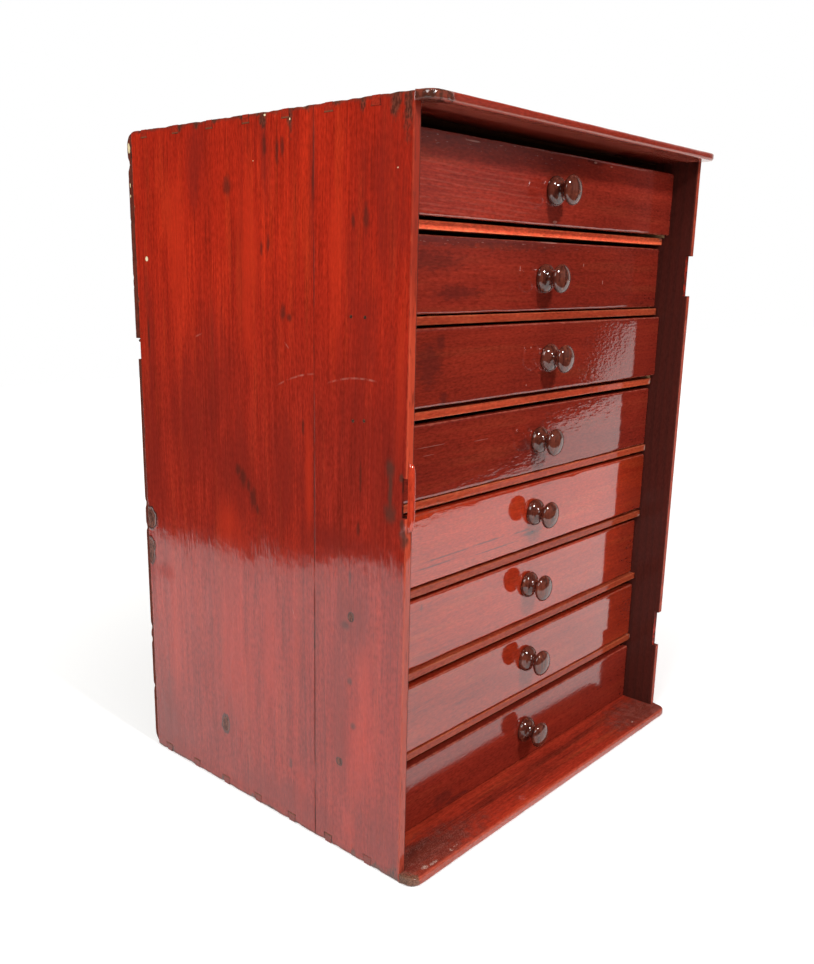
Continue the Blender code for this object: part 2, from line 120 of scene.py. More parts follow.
FRONTWARD = ((1, 0, 0), (0, -1, 0), (0, 0, 1))
LEFTWARD = ((0, 0, 1), (-1, 0, 0), (0, 1, 0))
BACKWARD = ((0, 0, 1), (0, 1, 0), (1, 0, 0))
EDGE_LINES = (0, 0.15, 0.4, 0.7, 1.0, 1.5)  # shares of an edge's round where grid lines run
LINE_GAP = 0.12  # least gap from such a line to a cut, as a share of the round
NEAR_EDGE = 0.012  # how far from an edge its round can be uneven
CHIP_START = 0.010  # how far behind the front edges chips start
WEAR_REACH = 0.003
CHIP_REACH = 0.002
UNEVEN = 0.006  # how much the radius of a turned piece varies
BACK_INNER = 0.55  # share of the back's round within which nothing moves
SEED_STEP = np.array((7.13, 3.71, 5.37))
SMOOTH_ANGLE = math.radians(40)


# Shapes


def noise_at(points, scale, seed):
    """Smooth noise between about -1 and 1, with features of about 1 / scale metres."""
    return np.array([noise.noise(Vector(point)) for point in points * scale + seed * SEED_STEP])


def grid_lines(low, high, breaks, radius, spacing):
    """Sorted places of grid lines: every break, close lines in the rounded edges, and lines spacing apart."""
    fixed = sorted({low, high, *(place for place in breaks if low < place < high)})
    edges = [place for share in EDGE_LINES for place in (low + share * radius, high - share * radius)]
    free = [place for place in edges if min(abs(place - mark) for mark in fixed) > LINE_GAP * radius]
    marks = sorted(fixed + free)
    lines = [low]
    for start, end in zip(marks, marks[1:]):
        count = math.ceil((end - start) / spacing)
        lines.extend(start + (end - start) * step / count for step in range(1, count + 1))
    return np.array(lines)


def lattice(lines, cuts):
    """Points and outward quads of a block of cells, less the cells whose middles lie in a cut."""
    middles = np.stack(np.meshgrid(*[(row[1:] + row[:-1]) / 2 for row in lines], indexing="ij"), -1)
    solid = np.ones(middles.shape[:3], bool)
    for low, high in cuts:
        solid &= ~((middles > low) & (middles < high)).all(-1)
    cells = np.pad(solid, 1)
    quads = []
    for axis in range(3):
        layers = np.moveaxis(cells, axis, 0)
        for outward in (1, -1):
            here, there = (layers[:-1], layers[1:])[::outward]
            plane, row, column = np.nonzero(here & ~there)
            ring = [(0, 0), (1, 0), (1, 1), (0, 1)]
            if (outward < 0) != (axis == 1):
                ring.reverse()
            pairs = [np.stack((row - 1 + r, column - 1 + c), -1) for r, c in ring]
            quads.append(np.stack([np.insert(pair, axis, plane, -1) for pair in pairs], 1))
    corners = np.concatenate(quads)
    counts = [len(row) for row in lines]
    keys = np.ravel_multi_index(tuple(corners.reshape(-1, 3).T), counts)
    used, order = np.unique(keys, return_inverse=True)
    places = np.unravel_index(used, counts)
    points = np.stack([row[place] for row, place in zip(lines, places)], -1)
    return points, order.reshape(-1, 4)


def splay(points):
    """Spreads the pins' flanks towards the inside of the case, as dovetails do."""
    from_end = np.where(
        points[:, 2] > HEIGHT / 2,
        np.clip(HEIGHT - points[:, 2], 0, TOP_THICK),
        np.clip(points[:, 2], 0, BOTTOM_THICK),
    )
    for middle in PIN_MIDDLES:
        off = points[:, 1] - middle
        reach = abs(off)
        fade = np.clip(1 - (reach - PIN_HALF) / SPLAY_REACH, 0, 1)
        share = np.where(reach < PIN_HALF, reach / PIN_HALF, fade)
        points[:, 1] += np.sign(off) * share * from_end * PIN_SLOPE


def round_corner(points, axes, middle, hands, radius, inner=None):
    """Rounds a square corner on the given hands of its arc's middle, past an inner share of the arc."""
    u, v = ((points[:, axis] - place) * hand / radius for axis, place, hand in zip(axes, middle, hands))
    inside = (u > 0) & (v > 0)
    length = np.where(inside, np.hypot(u, v), 1)
    share = np.where(inside, np.maximum(u, v) / length, 1)
    if inner:
        outer = np.clip((np.maximum(u, v) - inner) / (1 - inner), 0, 1)
        share = 1 - (1 - share) * outer
    for axis, place, hand, off in zip(axes, middle, hands, (u, v)):
        points[:, axis] = np.where(share < 1, place + hand * off * share * radius, points[:, axis])


def round_back(points):
    """Rounds the case's top and bottom back edges, and leaves the inner faces as they are."""
    for hand in (1, -1):
        middle = (BACK_Y - BACK_ROUND, HEIGHT / 2 + hand * (HEIGHT / 2 - BACK_ROUND))
        round_corner(points, (1, 2), middle, (1, hand), BACK_ROUND, BACK_INNER)


def round_lip(points):
    """Rounds a lip's two corners, seen from above."""
    for hand in (1, -1):
        middle = (hand * (HALF_WIDTH - LIP_CORNER), LIP_Y + LIP_CORNER)
        round_corner(points, (0, 1), middle, (hand, -1), LIP_CORNER)


def round_bore(middle):
    """Makes the square hole for a knob's spigot round."""

    def shape(points):
        off = points[:, (0, 2)] - middle
        square = abs(off).max(1)
        length = np.maximum(np.hypot(off[:, 0], off[:, 1]), 1e-9)
        fade = np.clip((3 * BORE - square) / (2 * BORE), 0, 1)
        points[:, (0, 2)] = middle + off * (1 + (square / length - 1) * fade)[:, None]

    return shape


def add_mesh(name, points, faces, material, **fields):
    mesh = bpy.data.meshes.new(name)
    mesh.from_pydata(points, [], faces)
    mesh.validate()
    for field, values in fields.items():
        mesh.attributes.new(field, "FLOAT", "POINT").data.foreach_set("value", values)
    mesh.shade_smooth()
    mesh.set_sharp_from_angle(angle=SMOOTH_ANGLE)
    mesh.materials.append(material)
    made = bpy.data.objects.new(name, mesh)
    bpy.context.scene.collection.objects.link(made)
    return made


def board(
    name, low, high, material, radius, spacing, seed, cuts=(), warps=(), dents=(),
    thin=0, sway=0.0, rag=0.5, chips=0.0, radius_behind=None,
):
    """A worn board: a box with cuts, edges rounded unevenly, faces slightly wavy, and dents pushed in.

    radius_behind is the edges' round behind the sides' front edges, where it differs. sway moves the faces
    along the axis thin, and rag and chips roughen the edges.
    """
    low, high = np.array(low), np.array(high)
    lines = []
    for axis in range(3):
        breaks = [corner[axis] for cut in cuts for corner in cut]
        lines.append(grid_lines(low[axis], high[axis], breaks, radius, spacing[axis]))
    points, quads = lattice(lines, cuts)
    to_edge = np.sort(np.minimum(points - low, high - points), axis=1)[:, 1]
    on_planes = np.concatenate((points == low, points == high), axis=1)
    in_cut = ~on_planes[quads].all(1).any(1)
    dirt = np.zeros(len(points))
    dirt[quads[in_cut]] = 1
    near = to_edge < NEAR_EDGE
    ragged = np.zeros(len(points))
    ragged[near] = noise_at(points[near], 90, seed) * 0.5
    ragged[near] += np.maximum(noise_at(points[near], 37, seed + 1), 0)
    chipped = np.zeros(len(points))
    if chips:
        rough = near & (points[:, 1] > EDGE_Y + CHIP_START)
        chipped[rough] = np.clip(2.2 * noise_at(points[rough], 230, seed + 4) - 0.35, 0, 1)
    base = radius
    if radius_behind:
        base = np.where(points[:, 1] < EDGE_Y - JOINT, radius, radius_behind)
    round_by = (base * (np.clip(1 + rag * ragged, 0.5, 1.9) + chips * chipped))[:, None]
    core = np.clip(points, low + round_by, high - round_by)
    off = points - core
    length = np.maximum(np.linalg.norm(off, axis=1), 1e-12)
    points = core + off * (abs(off).max(1) / length)[:, None]
    if sway:
        points[:, thin] += sway * (noise_at(points, 9, seed + 2) + 0.3 * noise_at(points, 31, seed + 3))
    for place, reach, push in dents:
        share = np.exp(-(((points - place) / reach) ** 2).sum(1))
        points += share[:, None] * np.array(push)
    for warp in warps:
        warp(points)
    wear = np.exp(-to_edge / WEAR_REACH)
    chip = chipped * np.exp(-to_edge / CHIP_REACH)
    return add_mesh(name, points, quads, material, wear=wear, dirt=dirt, chip=chip)


def turned(profile, steps, place, axes, seed):
    """Points and faces of a turned piece: a half outline, as (radius, height), round the second axis."""
    turns = np.arange(steps) * 2 * math.pi / steps
    points = [(0.0, profile[0][1], 0.0)]
    for radius, height in profile[1:-1]:
        points.extend((radius * math.cos(turn), height, radius * math.sin(turn)) for turn in turns)
    points.append((0.0, profile[-1][1], 0.0))
    points = np.array(points)
    points[:, (0, 2)] *= (1 + UNEVEN * noise_at(points, 70, seed))[:, None]
    faces = []
    last = len(points) - 1
    for step in range(steps):
        after = (step + 1) % steps
        faces.append((0, 1 + step, 1 + after))
        for ring in range(len(profile) - 3):
            first = 1 + ring * steps
            faces.append((first + step, first + steps + step, first + steps + after, first + after))
        first = last - steps
        faces.append((first + step, last, first + after))
    return points @ np.array(axes) + np.array(place), faces


def dress(piece, body, slot, *nodes):
    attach(piece, body)
    if nodes:
        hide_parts(*nodes)


# Materials


class Field:
    """A value or colour in a graph's nodes that arithmetic can go on from."""

    def __init__(self, graph, socket):
        self.graph = graph
        self.socket = socket

    def __add__(self, other):
        return self.graph.math("ADD", self, other)

    def __sub__(self, other):
        return self.graph.math("SUBTRACT", self, other)

    def __rsub__(self, other):
        return self.graph.math("SUBTRACT", other, self)

    def __mul__(self, other):
        return self.graph.math("MULTIPLY", self, other)

    def __abs__(self):
        return self.graph.math("ABSOLUTE", self)

    def step(self, start, end):
        """A smooth step from 0 at start to 1 at end."""
        inputs = {"Value": self, "From Min": start, "From Max": end}
        return self.graph.node("MapRange", inputs, interpolation_type="SMOOTHSTEP")

    def mix(self, share, other):
        """This colour, with a share of another."""
        return self.graph.mix(share, self, other)

    def scale(self, factor):
        return self.graph.scale(self, factor)


class Graph:
    """The nodes of a new material or world, made by calls."""

    def __init__(self, name, kind="Material"):
        self.kind = kind
        self.owner = (bpy.data.worlds if kind == "World" else bpy.data.materials).new(name)
        self.owner.use_nodes = True
        self.tree = self.owner.node_tree
        self.tree.nodes.clear()
        self.place = self.node("TexCoord", {}, output="Object")
        self.x, self.y, self.z = (self.node("SeparateXYZ", {0: self.place}, output=axis) for axis in "XYZ")

    def node(self, kind, inputs, output=0, **settings):
        made = self.tree.nodes.new("ShaderNode" + kind)
        for key, value in settings.items():
            setattr(made, key, value)
        for key, value in inputs.items():
            if isinstance(value, Field):
                self.tree.links.new(value.socket, made.inputs[key])
            else:
                made.inputs[key].default_value = value
        return Field(self, made.outputs[output])

    def math(self, operation, *values):
        return self.node("Math", dict(enumerate(values)), operation=operation)

    def noise(self, x, y, z, detail=2.0):
        where = self.node("CombineXYZ", {0: x, 1: y, 2: z})
        return self.node("TexNoise", {"Vector": where, "Scale": 1.0, "Detail": detail})

    def speckle(self, scale, detail=2.0):
        """Noise that is alike in all directions."""
        return self.noise(self.x * scale, self.y * scale, self.z * scale, detail)

    def mix(self, share, first, second):
        first, second = (c if isinstance(c, Field) else (*c, 1) for c in (first, second))
        return self.node("Mix", {0: share, 6: first, 7: second}, output=2, data_type="RGBA")

    def scale(self, colour, factor):
        return self.node("VectorMath", {0: colour, "Scale": factor}, operation="SCALE")

    def oval(self, ragged, middle, half):
        """How far out a place lies from the middle of a ragged oval, with 1 at its edge."""
        scale = [1 / size if size else 0.0 for size in half]
        shift = [-place * size for place, size in zip(middle, scale)]
        inputs = {0: self.place, 1: scale, 2: shift}
        off = self.node("VectorMath", inputs, operation="MULTIPLY_ADD")
        return self.node("VectorMath", {0: off}, output="Value", operation="LENGTH") + ragged

    def spot(self, ragged, middle, half, fade=(1.15, 0.75)):
        """1 inside a ragged oval, 0 outside, fading over the given shares of its half size."""
        return self.oval(ragged, middle, half).step(*fade)

    def most(self, masks):
        total = masks[0]
        for mask in masks[1:]:
            total = self.math("MAXIMUM", total, mask)
        return total

    def spots(self, places, ragged, fade=(1.15, 0.75)):
        """1 inside any of some ragged ovals, each given by its middle and half size."""
        return self.most([self.spot(ragged, middle, half, fade) for middle, half in places])

    def attribute(self, name):
        return self.node("Attribute", {}, output="Fac", attribute_name=name)

    def scratch(self, across, rise, start, end, bend, width):
        """1 along a thin bent line between two places, which run in across from start to end."""
        share = (across - start[0]) * (1 / (end[0] - start[0]))
        line = share * (end[1] - start[1]) + start[1] + share * (1 - share) * bend
        ends = share.step(0.0, 0.15) * share.step(1.0, 0.85)
        return abs(rise - line).step(width, width * 0.3) * ends

    def varnish(self, colour, height, distance, roughness, coat_ior, coat_roughness, coat=1.0):
        """Ends the material as stained wood under varnish whose surface follows height."""
        bump = self.node("Bump", {"Strength": 1.0, "Distance": distance, "Height": height})
        inputs = {
            "Base Color": colour,
            "Roughness": roughness,
            "Specular IOR Level": 0.0,
            "Coat Weight": coat,
            "Coat Roughness": coat_roughness,
            "Coat IOR": coat_ior,
            "Normal": bump,
            "Coat Normal": bump,
        }
        return self.end(self.node("BsdfPrincipled", inputs))

    def end(self, shader):
        output = self.tree.nodes.new("ShaderNodeOutput" + self.kind)
        self.tree.links.new(shader.socket, output.inputs["Surface"])
        return self.owner


class Pine:
    """The grain of a pine board, by the axes that run across, along and through it."""

    def __init__(self, graph, axes, seed, ring=0.0042, ripple=(420, 11)):
        self.graph = graph
        across, along, depth = ((graph.x, graph.y, graph.z)[axis] for axis in axes)
        wander = graph.noise(across * 7, along * 2.0, seed, 1.5) - 0.5
        across = across + wander * 0.022
        inside = depth + 0.030
        radius = graph.math("SQRT", across * across + inside * inside)
        rings = graph.math("FRACT", radius * (1 / ring) + graph.noise(across * 40, along * 3, seed + 1.7))
        self.late = rings.step(0.25, 0.85) * rings.step(1.0, 0.9)
        self.fibre = graph.noise(across * 1000, along * 16, depth * 1000 + seed, 2)
        self.streak = graph.noise(across * 330, along * 7, depth * 330 + seed, 3)
        self.band = graph.noise(across * 75, along * 2.2, seed + 3.1, 2)
        self.broad = graph.noise(across * 22, along * 1.6, seed + 9.7, 2)
        self.dash = graph.noise(across * 620, along * 17, depth * 620 + seed, 1).step(0.60, 0.74)
        self.pore = graph.noise(across * 1000, along * 110, depth * 1000 + seed, 2).step(0.56, 0.72)
        self.mottle = graph.noise(across * 720, along * 220, depth * 720 + seed, 3)
        self.blotch = graph.noise(across * 16, along * 10, seed + 5.3, 3)
        self.cloud = graph.noise(across * 60, along * 16, seed + 6.1, 3)
        self.warmth = graph.noise(across * 110, along * 7, seed + 7.9, 2)
        self.ridge = graph.noise(across * ripple[0], along * ripple[1], depth * ripple[0] + seed, 2)

    def mottled(self, colour, swing=1.2, least=0.4):
        """A colour that varies finely along the grain."""
        return self.graph.scale(colour, self.mottle * swing + least)


# Relief of a varnished board: ridges' scale across and along, then heights of ridges, streaks and lumps
PLANED = (420, 11, 0.20, 0.20, 0.5)
FIBROUS = (430, 45, 0.26, 0.08, 0.5)
SMOOTH = (300, 120, 0.22, 0.05, 0.20)
LINED = (240, 9, 0.26, 0.05, 0.20)
CRACKLED = (420, 170, 0.34, 0.05, 0.24)
CRAZED = (250, 75, 0.50, 0.05, 0.25)

# Stains, as dark, middle and bright tones
RED = ((0.17, 0.012, 0.006), (0.36, 0.018, 0.0065), (0.50, 0.028, 0.008))
DEEP_RED = ((0.12, 0.014, 0.008), (0.32, 0.027, 0.0125), (0.46, 0.044, 0.018))
DUSKY = ((0.090, 0.011, 0.007), (0.175, 0.017, 0.010), (0.24, 0.026, 0.014))
ORANGE = ((0.26, 0.030, 0.014), (0.46, 0.056, 0.024), (0.60, 0.095, 0.040))
AMBER = ((0.22, 0.020, 0.010), (0.42, 0.036, 0.014), (0.58, 0.070, 0.026))
DEEP_FRONT = ((0.128, 0.0122, 0.0078), (0.178, 0.0160, 0.0087), (0.226, 0.0205, 0.0103))
BRIGHT_FRONT = ((0.23, 0.0170, 0.0070), (0.36, 0.0280, 0.0095), (0.46, 0.0400, 0.0130))

# Tints, or pairs of tints that a mark varies between
SHADED = (0.13, 0.018, 0.013)  # the deepest stain, also the colour of painted shade
DIRT = (0.030, 0.013, 0.010)
SOOT = ((0.030, 0.019, 0.012), (0.13, 0.046, 0.028))
GRIME = (0.060, 0.026, 0.017)
KNOT_RIM = (0.045, 0.017, 0.012)
KNOT_WOOD = ((0.065, 0.028, 0.020), (0.22, 0.080, 0.055))
KNOT_RINGS = (0.035, 0.015, 0.011)
GLUE = (0.040, 0.013, 0.009)
SCUFF = (0.50, 0.20, 0.15)
PAINT = (0.80, 0.68, 0.42)
OLD_PAINT = (0.74, 0.60, 0.34)
EDGE_MIDDLE = (0.48, 0.060, 0.026)
EDGE_LOW = (0.33, 0.050, 0.028)
EDGE_HIGH = (0.25, 0.025, 0.013)
EDGE_FLECK = (0.13, 0.022, 0.014)
# pale of the left front edge's inner arris, partly rubbed wear and partly painted highlight
EDGE_RUBBED_HIGHLIGHT = (0.72, 0.27, 0.18)
CHIPPED = ((0.040, 0.018, 0.012), (0.30, 0.17, 0.10))
BATTERED = ((0.035, 0.020, 0.013), (0.15, 0.040, 0.024))
DUST = ((0.075, 0.020, 0.015), (0.18, 0.068, 0.052))
BARE = ((0.070, 0.040, 0.026), (0.17, 0.095, 0.060))
TORN = (0.46, 0.31, 0.25)
RAW_PINE = (0.17, 0.060, 0.030)
RAW_SHELF = (0.33, 0.19, 0.095)
INNER_BROWN = (0.075, 0.016, 0.012)
RUST = ((0.040, 0.017, 0.012), (0.12, 0.045, 0.024))

WIDE = (1.5, 0.2)  # a soft fade for a mark's rim


def dim(colour, share):
    return [share * channel for channel in colour]


def stained(
    name, axes, seed, tones, ior=1.5, marks=None, dull=None, shade=None, relief=PLANED,
    worn_to=(0.46, 0.07, 0.03), gloss=0.05, dashes=0.16,
):
    """Red-stained pine under glossy varnish.

    marks adds a board's own marks to its colour, height and coat. dull is a tint and what gives its share
    where the wood has little finish, and shade gives where the stain is deepest and where shade is painted.
    """
    dark, middle, bright = tones
    graph = Graph(name)
    grain = Pine(graph, axes, seed, ripple=relief[:2])
    tone = grain.broad * 0.65 + grain.band * 0.5 + grain.cloud * 0.4
    tone = tone + grain.blotch * 0.4 + grain.streak * 0.48 + grain.fibre * 0.46
    colour = graph.mix(tone.step(1.04, 1.44), dark, middle)
    colour = colour.mix(tone.step(1.38, 1.78), bright)
    colour = colour.mix(grain.warmth.step(0.5, 0.8) * 0.3, (bright[0], bright[1] * 1.9, bright[2] * 1.5))
    colour = colour.mix(grain.late * 0.08, dark)
    colour = colour.mix(grain.dash * dashes, dim(dark, 0.35))
    colour = colour.mix(grain.pore * 0.25, dim(dark, 0.45))
    if shade:
        # the deepest stain where shade gives it, partly painted shade
        colour = colour.mix(shade(graph), graph.scale(SHADED, grain.streak * 0.8 + 0.6))
    colour = grain.mottled(colour, 1.1, 0.45)
    patch = graph.speckle(170, 3)
    worn = (graph.attribute("wear") + (patch - 0.5) * 0.9).step(0.62, 1.05)
    colour = colour.mix(worn * 0.75, grain.mottled(worn_to, 0.9, 0.55))
    height = grain.ridge * relief[2] + grain.streak * relief[3] + graph.speckle(70) * relief[4]
    height = height + grain.fibre * 0.05
    coat = 1.0
    if marks:
        colour, height, coat = marks(graph, grain, colour, height, patch)
    if dull:
        tint, share = dull
        inner = share(graph)
        colour = colour.mix(inner, grain.mottled(graph.mix(grain.late * 0.3, tint, DIRT), 0.8, 0.6))
        coat = graph.math("MULTIPLY", coat, 1.0 - inner * 0.75)
    grime = (graph.attribute("dirt") + (patch - 0.5) * 0.25).step(0.84, 1.02)
    colour = colour.mix(grime * (patch.step(0.44, 0.58) * 0.5 + 0.3), DIRT)
    coat = graph.math("MULTIPLY", coat, 1.0 - grime * 0.9)
    return graph.varnish(
        colour, height, distance=0.00022, roughness=0.45, coat_ior=ior, coat_roughness=gloss, coat=coat
    )


def on_side(marks):
    """Middles and half sizes of marks on a side, from mm behind the front edge and above the floor."""
    return [
        ((0, EDGE_Y + depth / 1000, rise / 1000), (0, wide / 1000, tall / 1000))
        for depth, rise, wide, tall in marks
    ]


def on_front(marks):
    """Middles and half sizes of marks on a drawer front, from millimetres in the frame."""
    return [
        ((across / 1000, 0, rise / 1000), (wide / 1000, 0, tall / 1000))
        for across, rise, wide, tall in marks
    ]


# Marks on the left side: place behind the front edge and above the floor, half width and half height, in mm
LEFT_SMUDGES = (
    (230, 545, 11, 40), (18, 520, 20, 70), (45, 420, 18, 110), (305, 400, 6, 70), (128, 300, 16, 50),
    (215, 370, 28, 60), (20, 330, 20, 80), (190, 300, 34, 45), (310, 290, 16, 60), (148, 540, 6, 40),
    (95, 530, 4, 50), (54, 205, 22, 24), (66, 120, 14, 60), (300, 30, 30, 40), (20, 30, 30, 30),
    (250, 330, 22, 50), (120, 20, 60, 16), (70, 262, 60, 12),
)
LEFT_GLOWS = (
    (37, 150, 9, 34), (56, 26, 8, 14), (110, 30, 6, 24), (46, 95, 13, 40), (200, 130, 20, 60),
    (150, 150, 8, 60), (285, 130, 8, 70), (70, 480, 8, 60), (170, 470, 12, 60), (260, 480, 14, 50),
    (8, 385, 4, 55), (200, 250, 14, 24), (100, 300, 4, 60),
)
LEFT_STAINS = (
    (186, 300, 4, 5), (180, 294, 5, 9), (173, 289, 2.5, 6), (167, 279, 4.5, 11), (162, 271, 2, 5),
    (54, 495, 2, 5), (147, 551, 2.4, 7), (133, 546, 2, 8), (127, 548, 2, 7), (42, 497, 2.8, 10),
    (152, 477, 1.5, 6), (144, 481, 1.8, 7), (106.5, 346, 1.5, 7), (47, 276, 1.8, 7), (45, 315, 1.2, 14),
    (55, 236, 1.2, 10), (124, 55, 2, 5), (192, 524, 5, 8), (95, 522, 1.2, 14), (94, 180, 1.2, 16),
    (128, 430, 3.5, 6), (121, 427, 3.5, 3), (55, 152, 3, 3), (51, 115, 3, 3), (60, 197, 5, 4),
    (307, 404, 1.6, 14),
)
LEFT_IRON = (
    (15.5, 310, 2.2, 20), (15.4, 326, 4.5, 7), (15.6, 294, 5.5, 8), (2.5, 277, 4, 8), (4, 287, 2, 5),
    (5, 321, 2, 3),
)
LEFT_ENDS = (
    (251, 573, 4, 4), (229, 573, 3, 5), (206, 574, 4, 4), (172, 574, 5, 3), (148, 570, 4, 8),
    (118.6, 567, 3, 11), (100, 574, 3, 4), (70, 574, 4, 3), (46, 572, 3, 6), (17, 569, 5, 11),
    (5, 564, 4.5, 16), (298, 1, 5, 5), (263, 0, 7, 3), (217, 2, 4, 5), (174, 0, 5, 4), (149, 0, 7, 3),
    (123, 0, 6, 4), (77, 2, 4, 4), (49, 0, 3, 6), (24, 0, 6, 6), (6, 0, 8, 10),
)
LEFT_KNOTS = (  # with the height of a raised rim
    (211, 60, 6.0, 10.5, 0.3), (317, 234, 10, 11, 1.4), (319, 203, 7.5, 13, 0.9), (313, 208, 2.2, 5, 0.5),
    (54, 205, 3.5, 4, 0.0), (66, 79, 3.5, 3.5, 0.0),
)
LEFT_SPECKS = (
    (305.2, 469.1, 2.0, 2.0), (118.6, 567, 0.6, 0.9), (146, 572, 1.1, 0.8), (160, 541, 0.5, 0.4),
    (13.6, 528, 0.6, 0.4),
)
LEFT_BLIND = ((296, 186, 16, 8), (318, 190, 6, 20))
LEFT_SCRATCHES = (  # from, to and bend, in metres
    ((0.0922, 0.3869), (0.1382, 0.3732), 0.010), ((0.0279, 0.3860), (0.0816, 0.3805), 0.014),
    ((0.1215, 0.4034), (0.1305, 0.4117), 0.0), ((0.1165, 0.1860), (0.1205, 0.1960), -0.004),
    ((0.2290, 0.4095), (0.2390, 0.4060), 0.0),
)
GLUE_JOINT = EDGE_Y + 0.094


def left_stains(graph, grain, colour, ragged, soft, high):
    """Bright and smudged stretches of the stain, small stains, iron marks, and dirt along the dovetails."""
    grit = graph.noise(graph.x * 700, graph.y * 700, graph.z * 260, 4)
    soot = graph.mix(grit.step(0.40, 0.66), *SOOT)
    smudged = grain.streak.step(0.30, 0.62) * 0.3 + 0.28
    for marks, rim, tint, share, fade in (
        (LEFT_GLOWS, soft * 2.0, (0.52, 0.032, 0.010), high * 0.17 + 0.28, WIDE),
        (LEFT_SMUDGES, soft * 2.2, (0.16, 0.014, 0.009), smudged, WIDE),
        (LEFT_STAINS, ragged * 1.2, (0.060, 0.015, 0.010), 0.68, (1.4, 0.3)),
        (LEFT_IRON, ragged * 1.2, (0.062, 0.027, 0.019), 0.75, (1.5, 0.35)),
        (LEFT_ENDS, ragged * 1.8 + (grit - 0.5) * 1.6, soot, 0.82, (1.35, 0.35)),
    ):
        colour = colour.mix(graph.spots(on_side(marks), rim, fade) * share, tint)
    half = HEIGHT / 2
    ends = (abs(graph.z - half) + ragged * 0.004).step(half - 0.0035, half - 0.0005)
    return colour.mix(ends * 0.6, GRIME)


def left_knots(graph, grain, colour, height, ragged):
    """Adds the left side's knots, and gives where their hearts are."""
    wood = graph.mix(grain.mottle.step(0.35, 0.65), *KNOT_WOOD)
    hearts = []
    for *mark, rim in LEFT_KNOTS:
        out = graph.oval(ragged, *on_side([mark])[0])
        knot = out.step(1.12, 0.95)
        heart = out.step(0.88, 0.70)
        rings = abs(graph.math("FRACT", out * 3.3) - 0.5).step(0.34, 0.46) * heart
        colour = colour.mix(knot * 0.85, KNOT_RIM)
        colour = colour.mix(heart * 0.85, wood)
        colour = colour.mix(rings * 0.6, KNOT_RINGS)
        height = height + (knot - heart) * rim - heart * 0.25 - rings * 0.3
        hearts.append(heart)
    return colour, height, graph.most(hearts)


def glue_joint(graph):
    """1 along the glue joint in the left side, where it shows."""
    line = graph.y - GLUE_JOINT + (graph.noise(graph.z * 6, 0, 0) - 0.5) * 0.0012
    joint = abs(line).step(0.0008, 0.0003) * graph.noise(graph.z * 25, 1, 1, 3).step(0.32, 0.55)
    return joint * (graph.z.step(0.30, 0.20) * 0.3 + 0.7)


def left_front(graph, colour, patch):
    """Colours the left side's front edge, dark above, and its inner arris pale, partly rubbed and partly
    painted highlight, and gives where it is.
    """
    front = (graph.y + (patch - 0.5) * 0.003).step(EDGE_Y + 0.0021, EDGE_Y + 0.0003)
    edge = graph.mix(graph.z.step(0.30, 0.22), EDGE_MIDDLE, EDGE_LOW)
    edge = edge.mix(graph.z.step(0.40, 0.48) * 0.9, EDGE_HIGH)
    flecks = graph.noise(graph.x * 500, graph.y * 500, graph.z * 70, 3).step(0.52, 0.68)
    colour = colour.mix(front * 0.85, edge.mix(flecks * 0.6, EDGE_FLECK))
    # inner arris painted pale, partly rubbed wear and partly painted highlight
    rubbed = graph.x.step(-INNER_X - 0.0012, -INNER_X - 0.0003) * front * graph.z.step(0.20, 0.30)
    return colour.mix(rubbed * (patch.step(0.40, 0.60) * 0.45 + 0.4), EDGE_RUBBED_HIGHLIGHT), front


def left_marks(graph, grain, colour, height, patch):
    """Knots, stains, scratches, paint specks and a glue joint on the outside of the left side."""
    ragged = (patch - 0.5) * 0.9
    soft = graph.noise(graph.y * 90, graph.z * 14, 2.0, 3) - 0.5
    lines = graph.noise(graph.y * 560, graph.z * 16, 8.0, 2)
    combed = graph.noise(graph.y * 22, graph.z * 6, 3.0, 2).step(0.42, 0.66)
    high = graph.z.step(0.17, 0.30)
    colour = colour.scale((lines.step(0.34, 0.66) - 0.5) * (combed * 0.14 + 0.12) * (high * 0.6 + 0.4) + 1.0)
    colour = left_stains(graph, grain, colour, ragged, soft, high)
    colour, height, hearts = left_knots(graph, grain, colour, height, soft * 0.9 + ragged * 0.6)
    joint = glue_joint(graph)
    colour = colour.mix(joint * 0.85, GLUE)
    arcs = [graph.scratch(graph.y - EDGE_Y, graph.z, *mark, 0.0010) for mark in LEFT_SCRATCHES]
    colour = colour.mix(graph.most(arcs) * patch.step(0.35, 0.7) * 0.4, SCUFF)
    colour = colour.mix(graph.spots(on_side(LEFT_SPECKS), ragged * 0.6), PAINT)
    colour, front = left_front(graph, colour, patch)
    blind = graph.spots(on_side(LEFT_BLIND), soft * 1.5, WIDE)
    iron = graph.spots(on_side(LEFT_IRON), ragged * 1.2, (1.35, 0.5))
    coat = (1.0 - joint) * (1.0 - blind * 0.35) * (1.0 - hearts * 0.55)
    coat = coat * ((lines * 0.4 + grain.mottle * 0.6).step(0.36, 0.62) * 0.18 + 0.82) * (1.0 - front * 0.3)
    coat = coat * (1.0 - iron * 0.85)
    chip = (graph.attribute("chip") + (patch - 0.5) * 0.5).step(0.15, 0.45)
    colour = colour.mix(chip * 0.8, graph.mix(patch.step(0.50, 0.66), *CHIPPED))
    waves = graph.noise(graph.y * 24, graph.z * 17, 5.0, 2)
    height = height - joint * 0.8 + waves * 2.2 + grain.ridge * combed * 0.55
    return colour, height, coat * (1.0 - chip * 0.7)


def left_shade(graph):
    """The left side is darker round its middle height and low down, partly a deeper stain and partly painted
    shade.
    """
    return abs(graph.z - 0.27).step(0.24, 0.02) * 0.46 + graph.z.step(0.22, 0.02) * 0.50


def end_grain(graph):
    """Share of end grain, on the ends of the top and bottom boards' pins."""
    return abs(graph.x).step(HALF_WIDTH - 0.0012, HALF_WIDTH - 0.0004) * 0.85


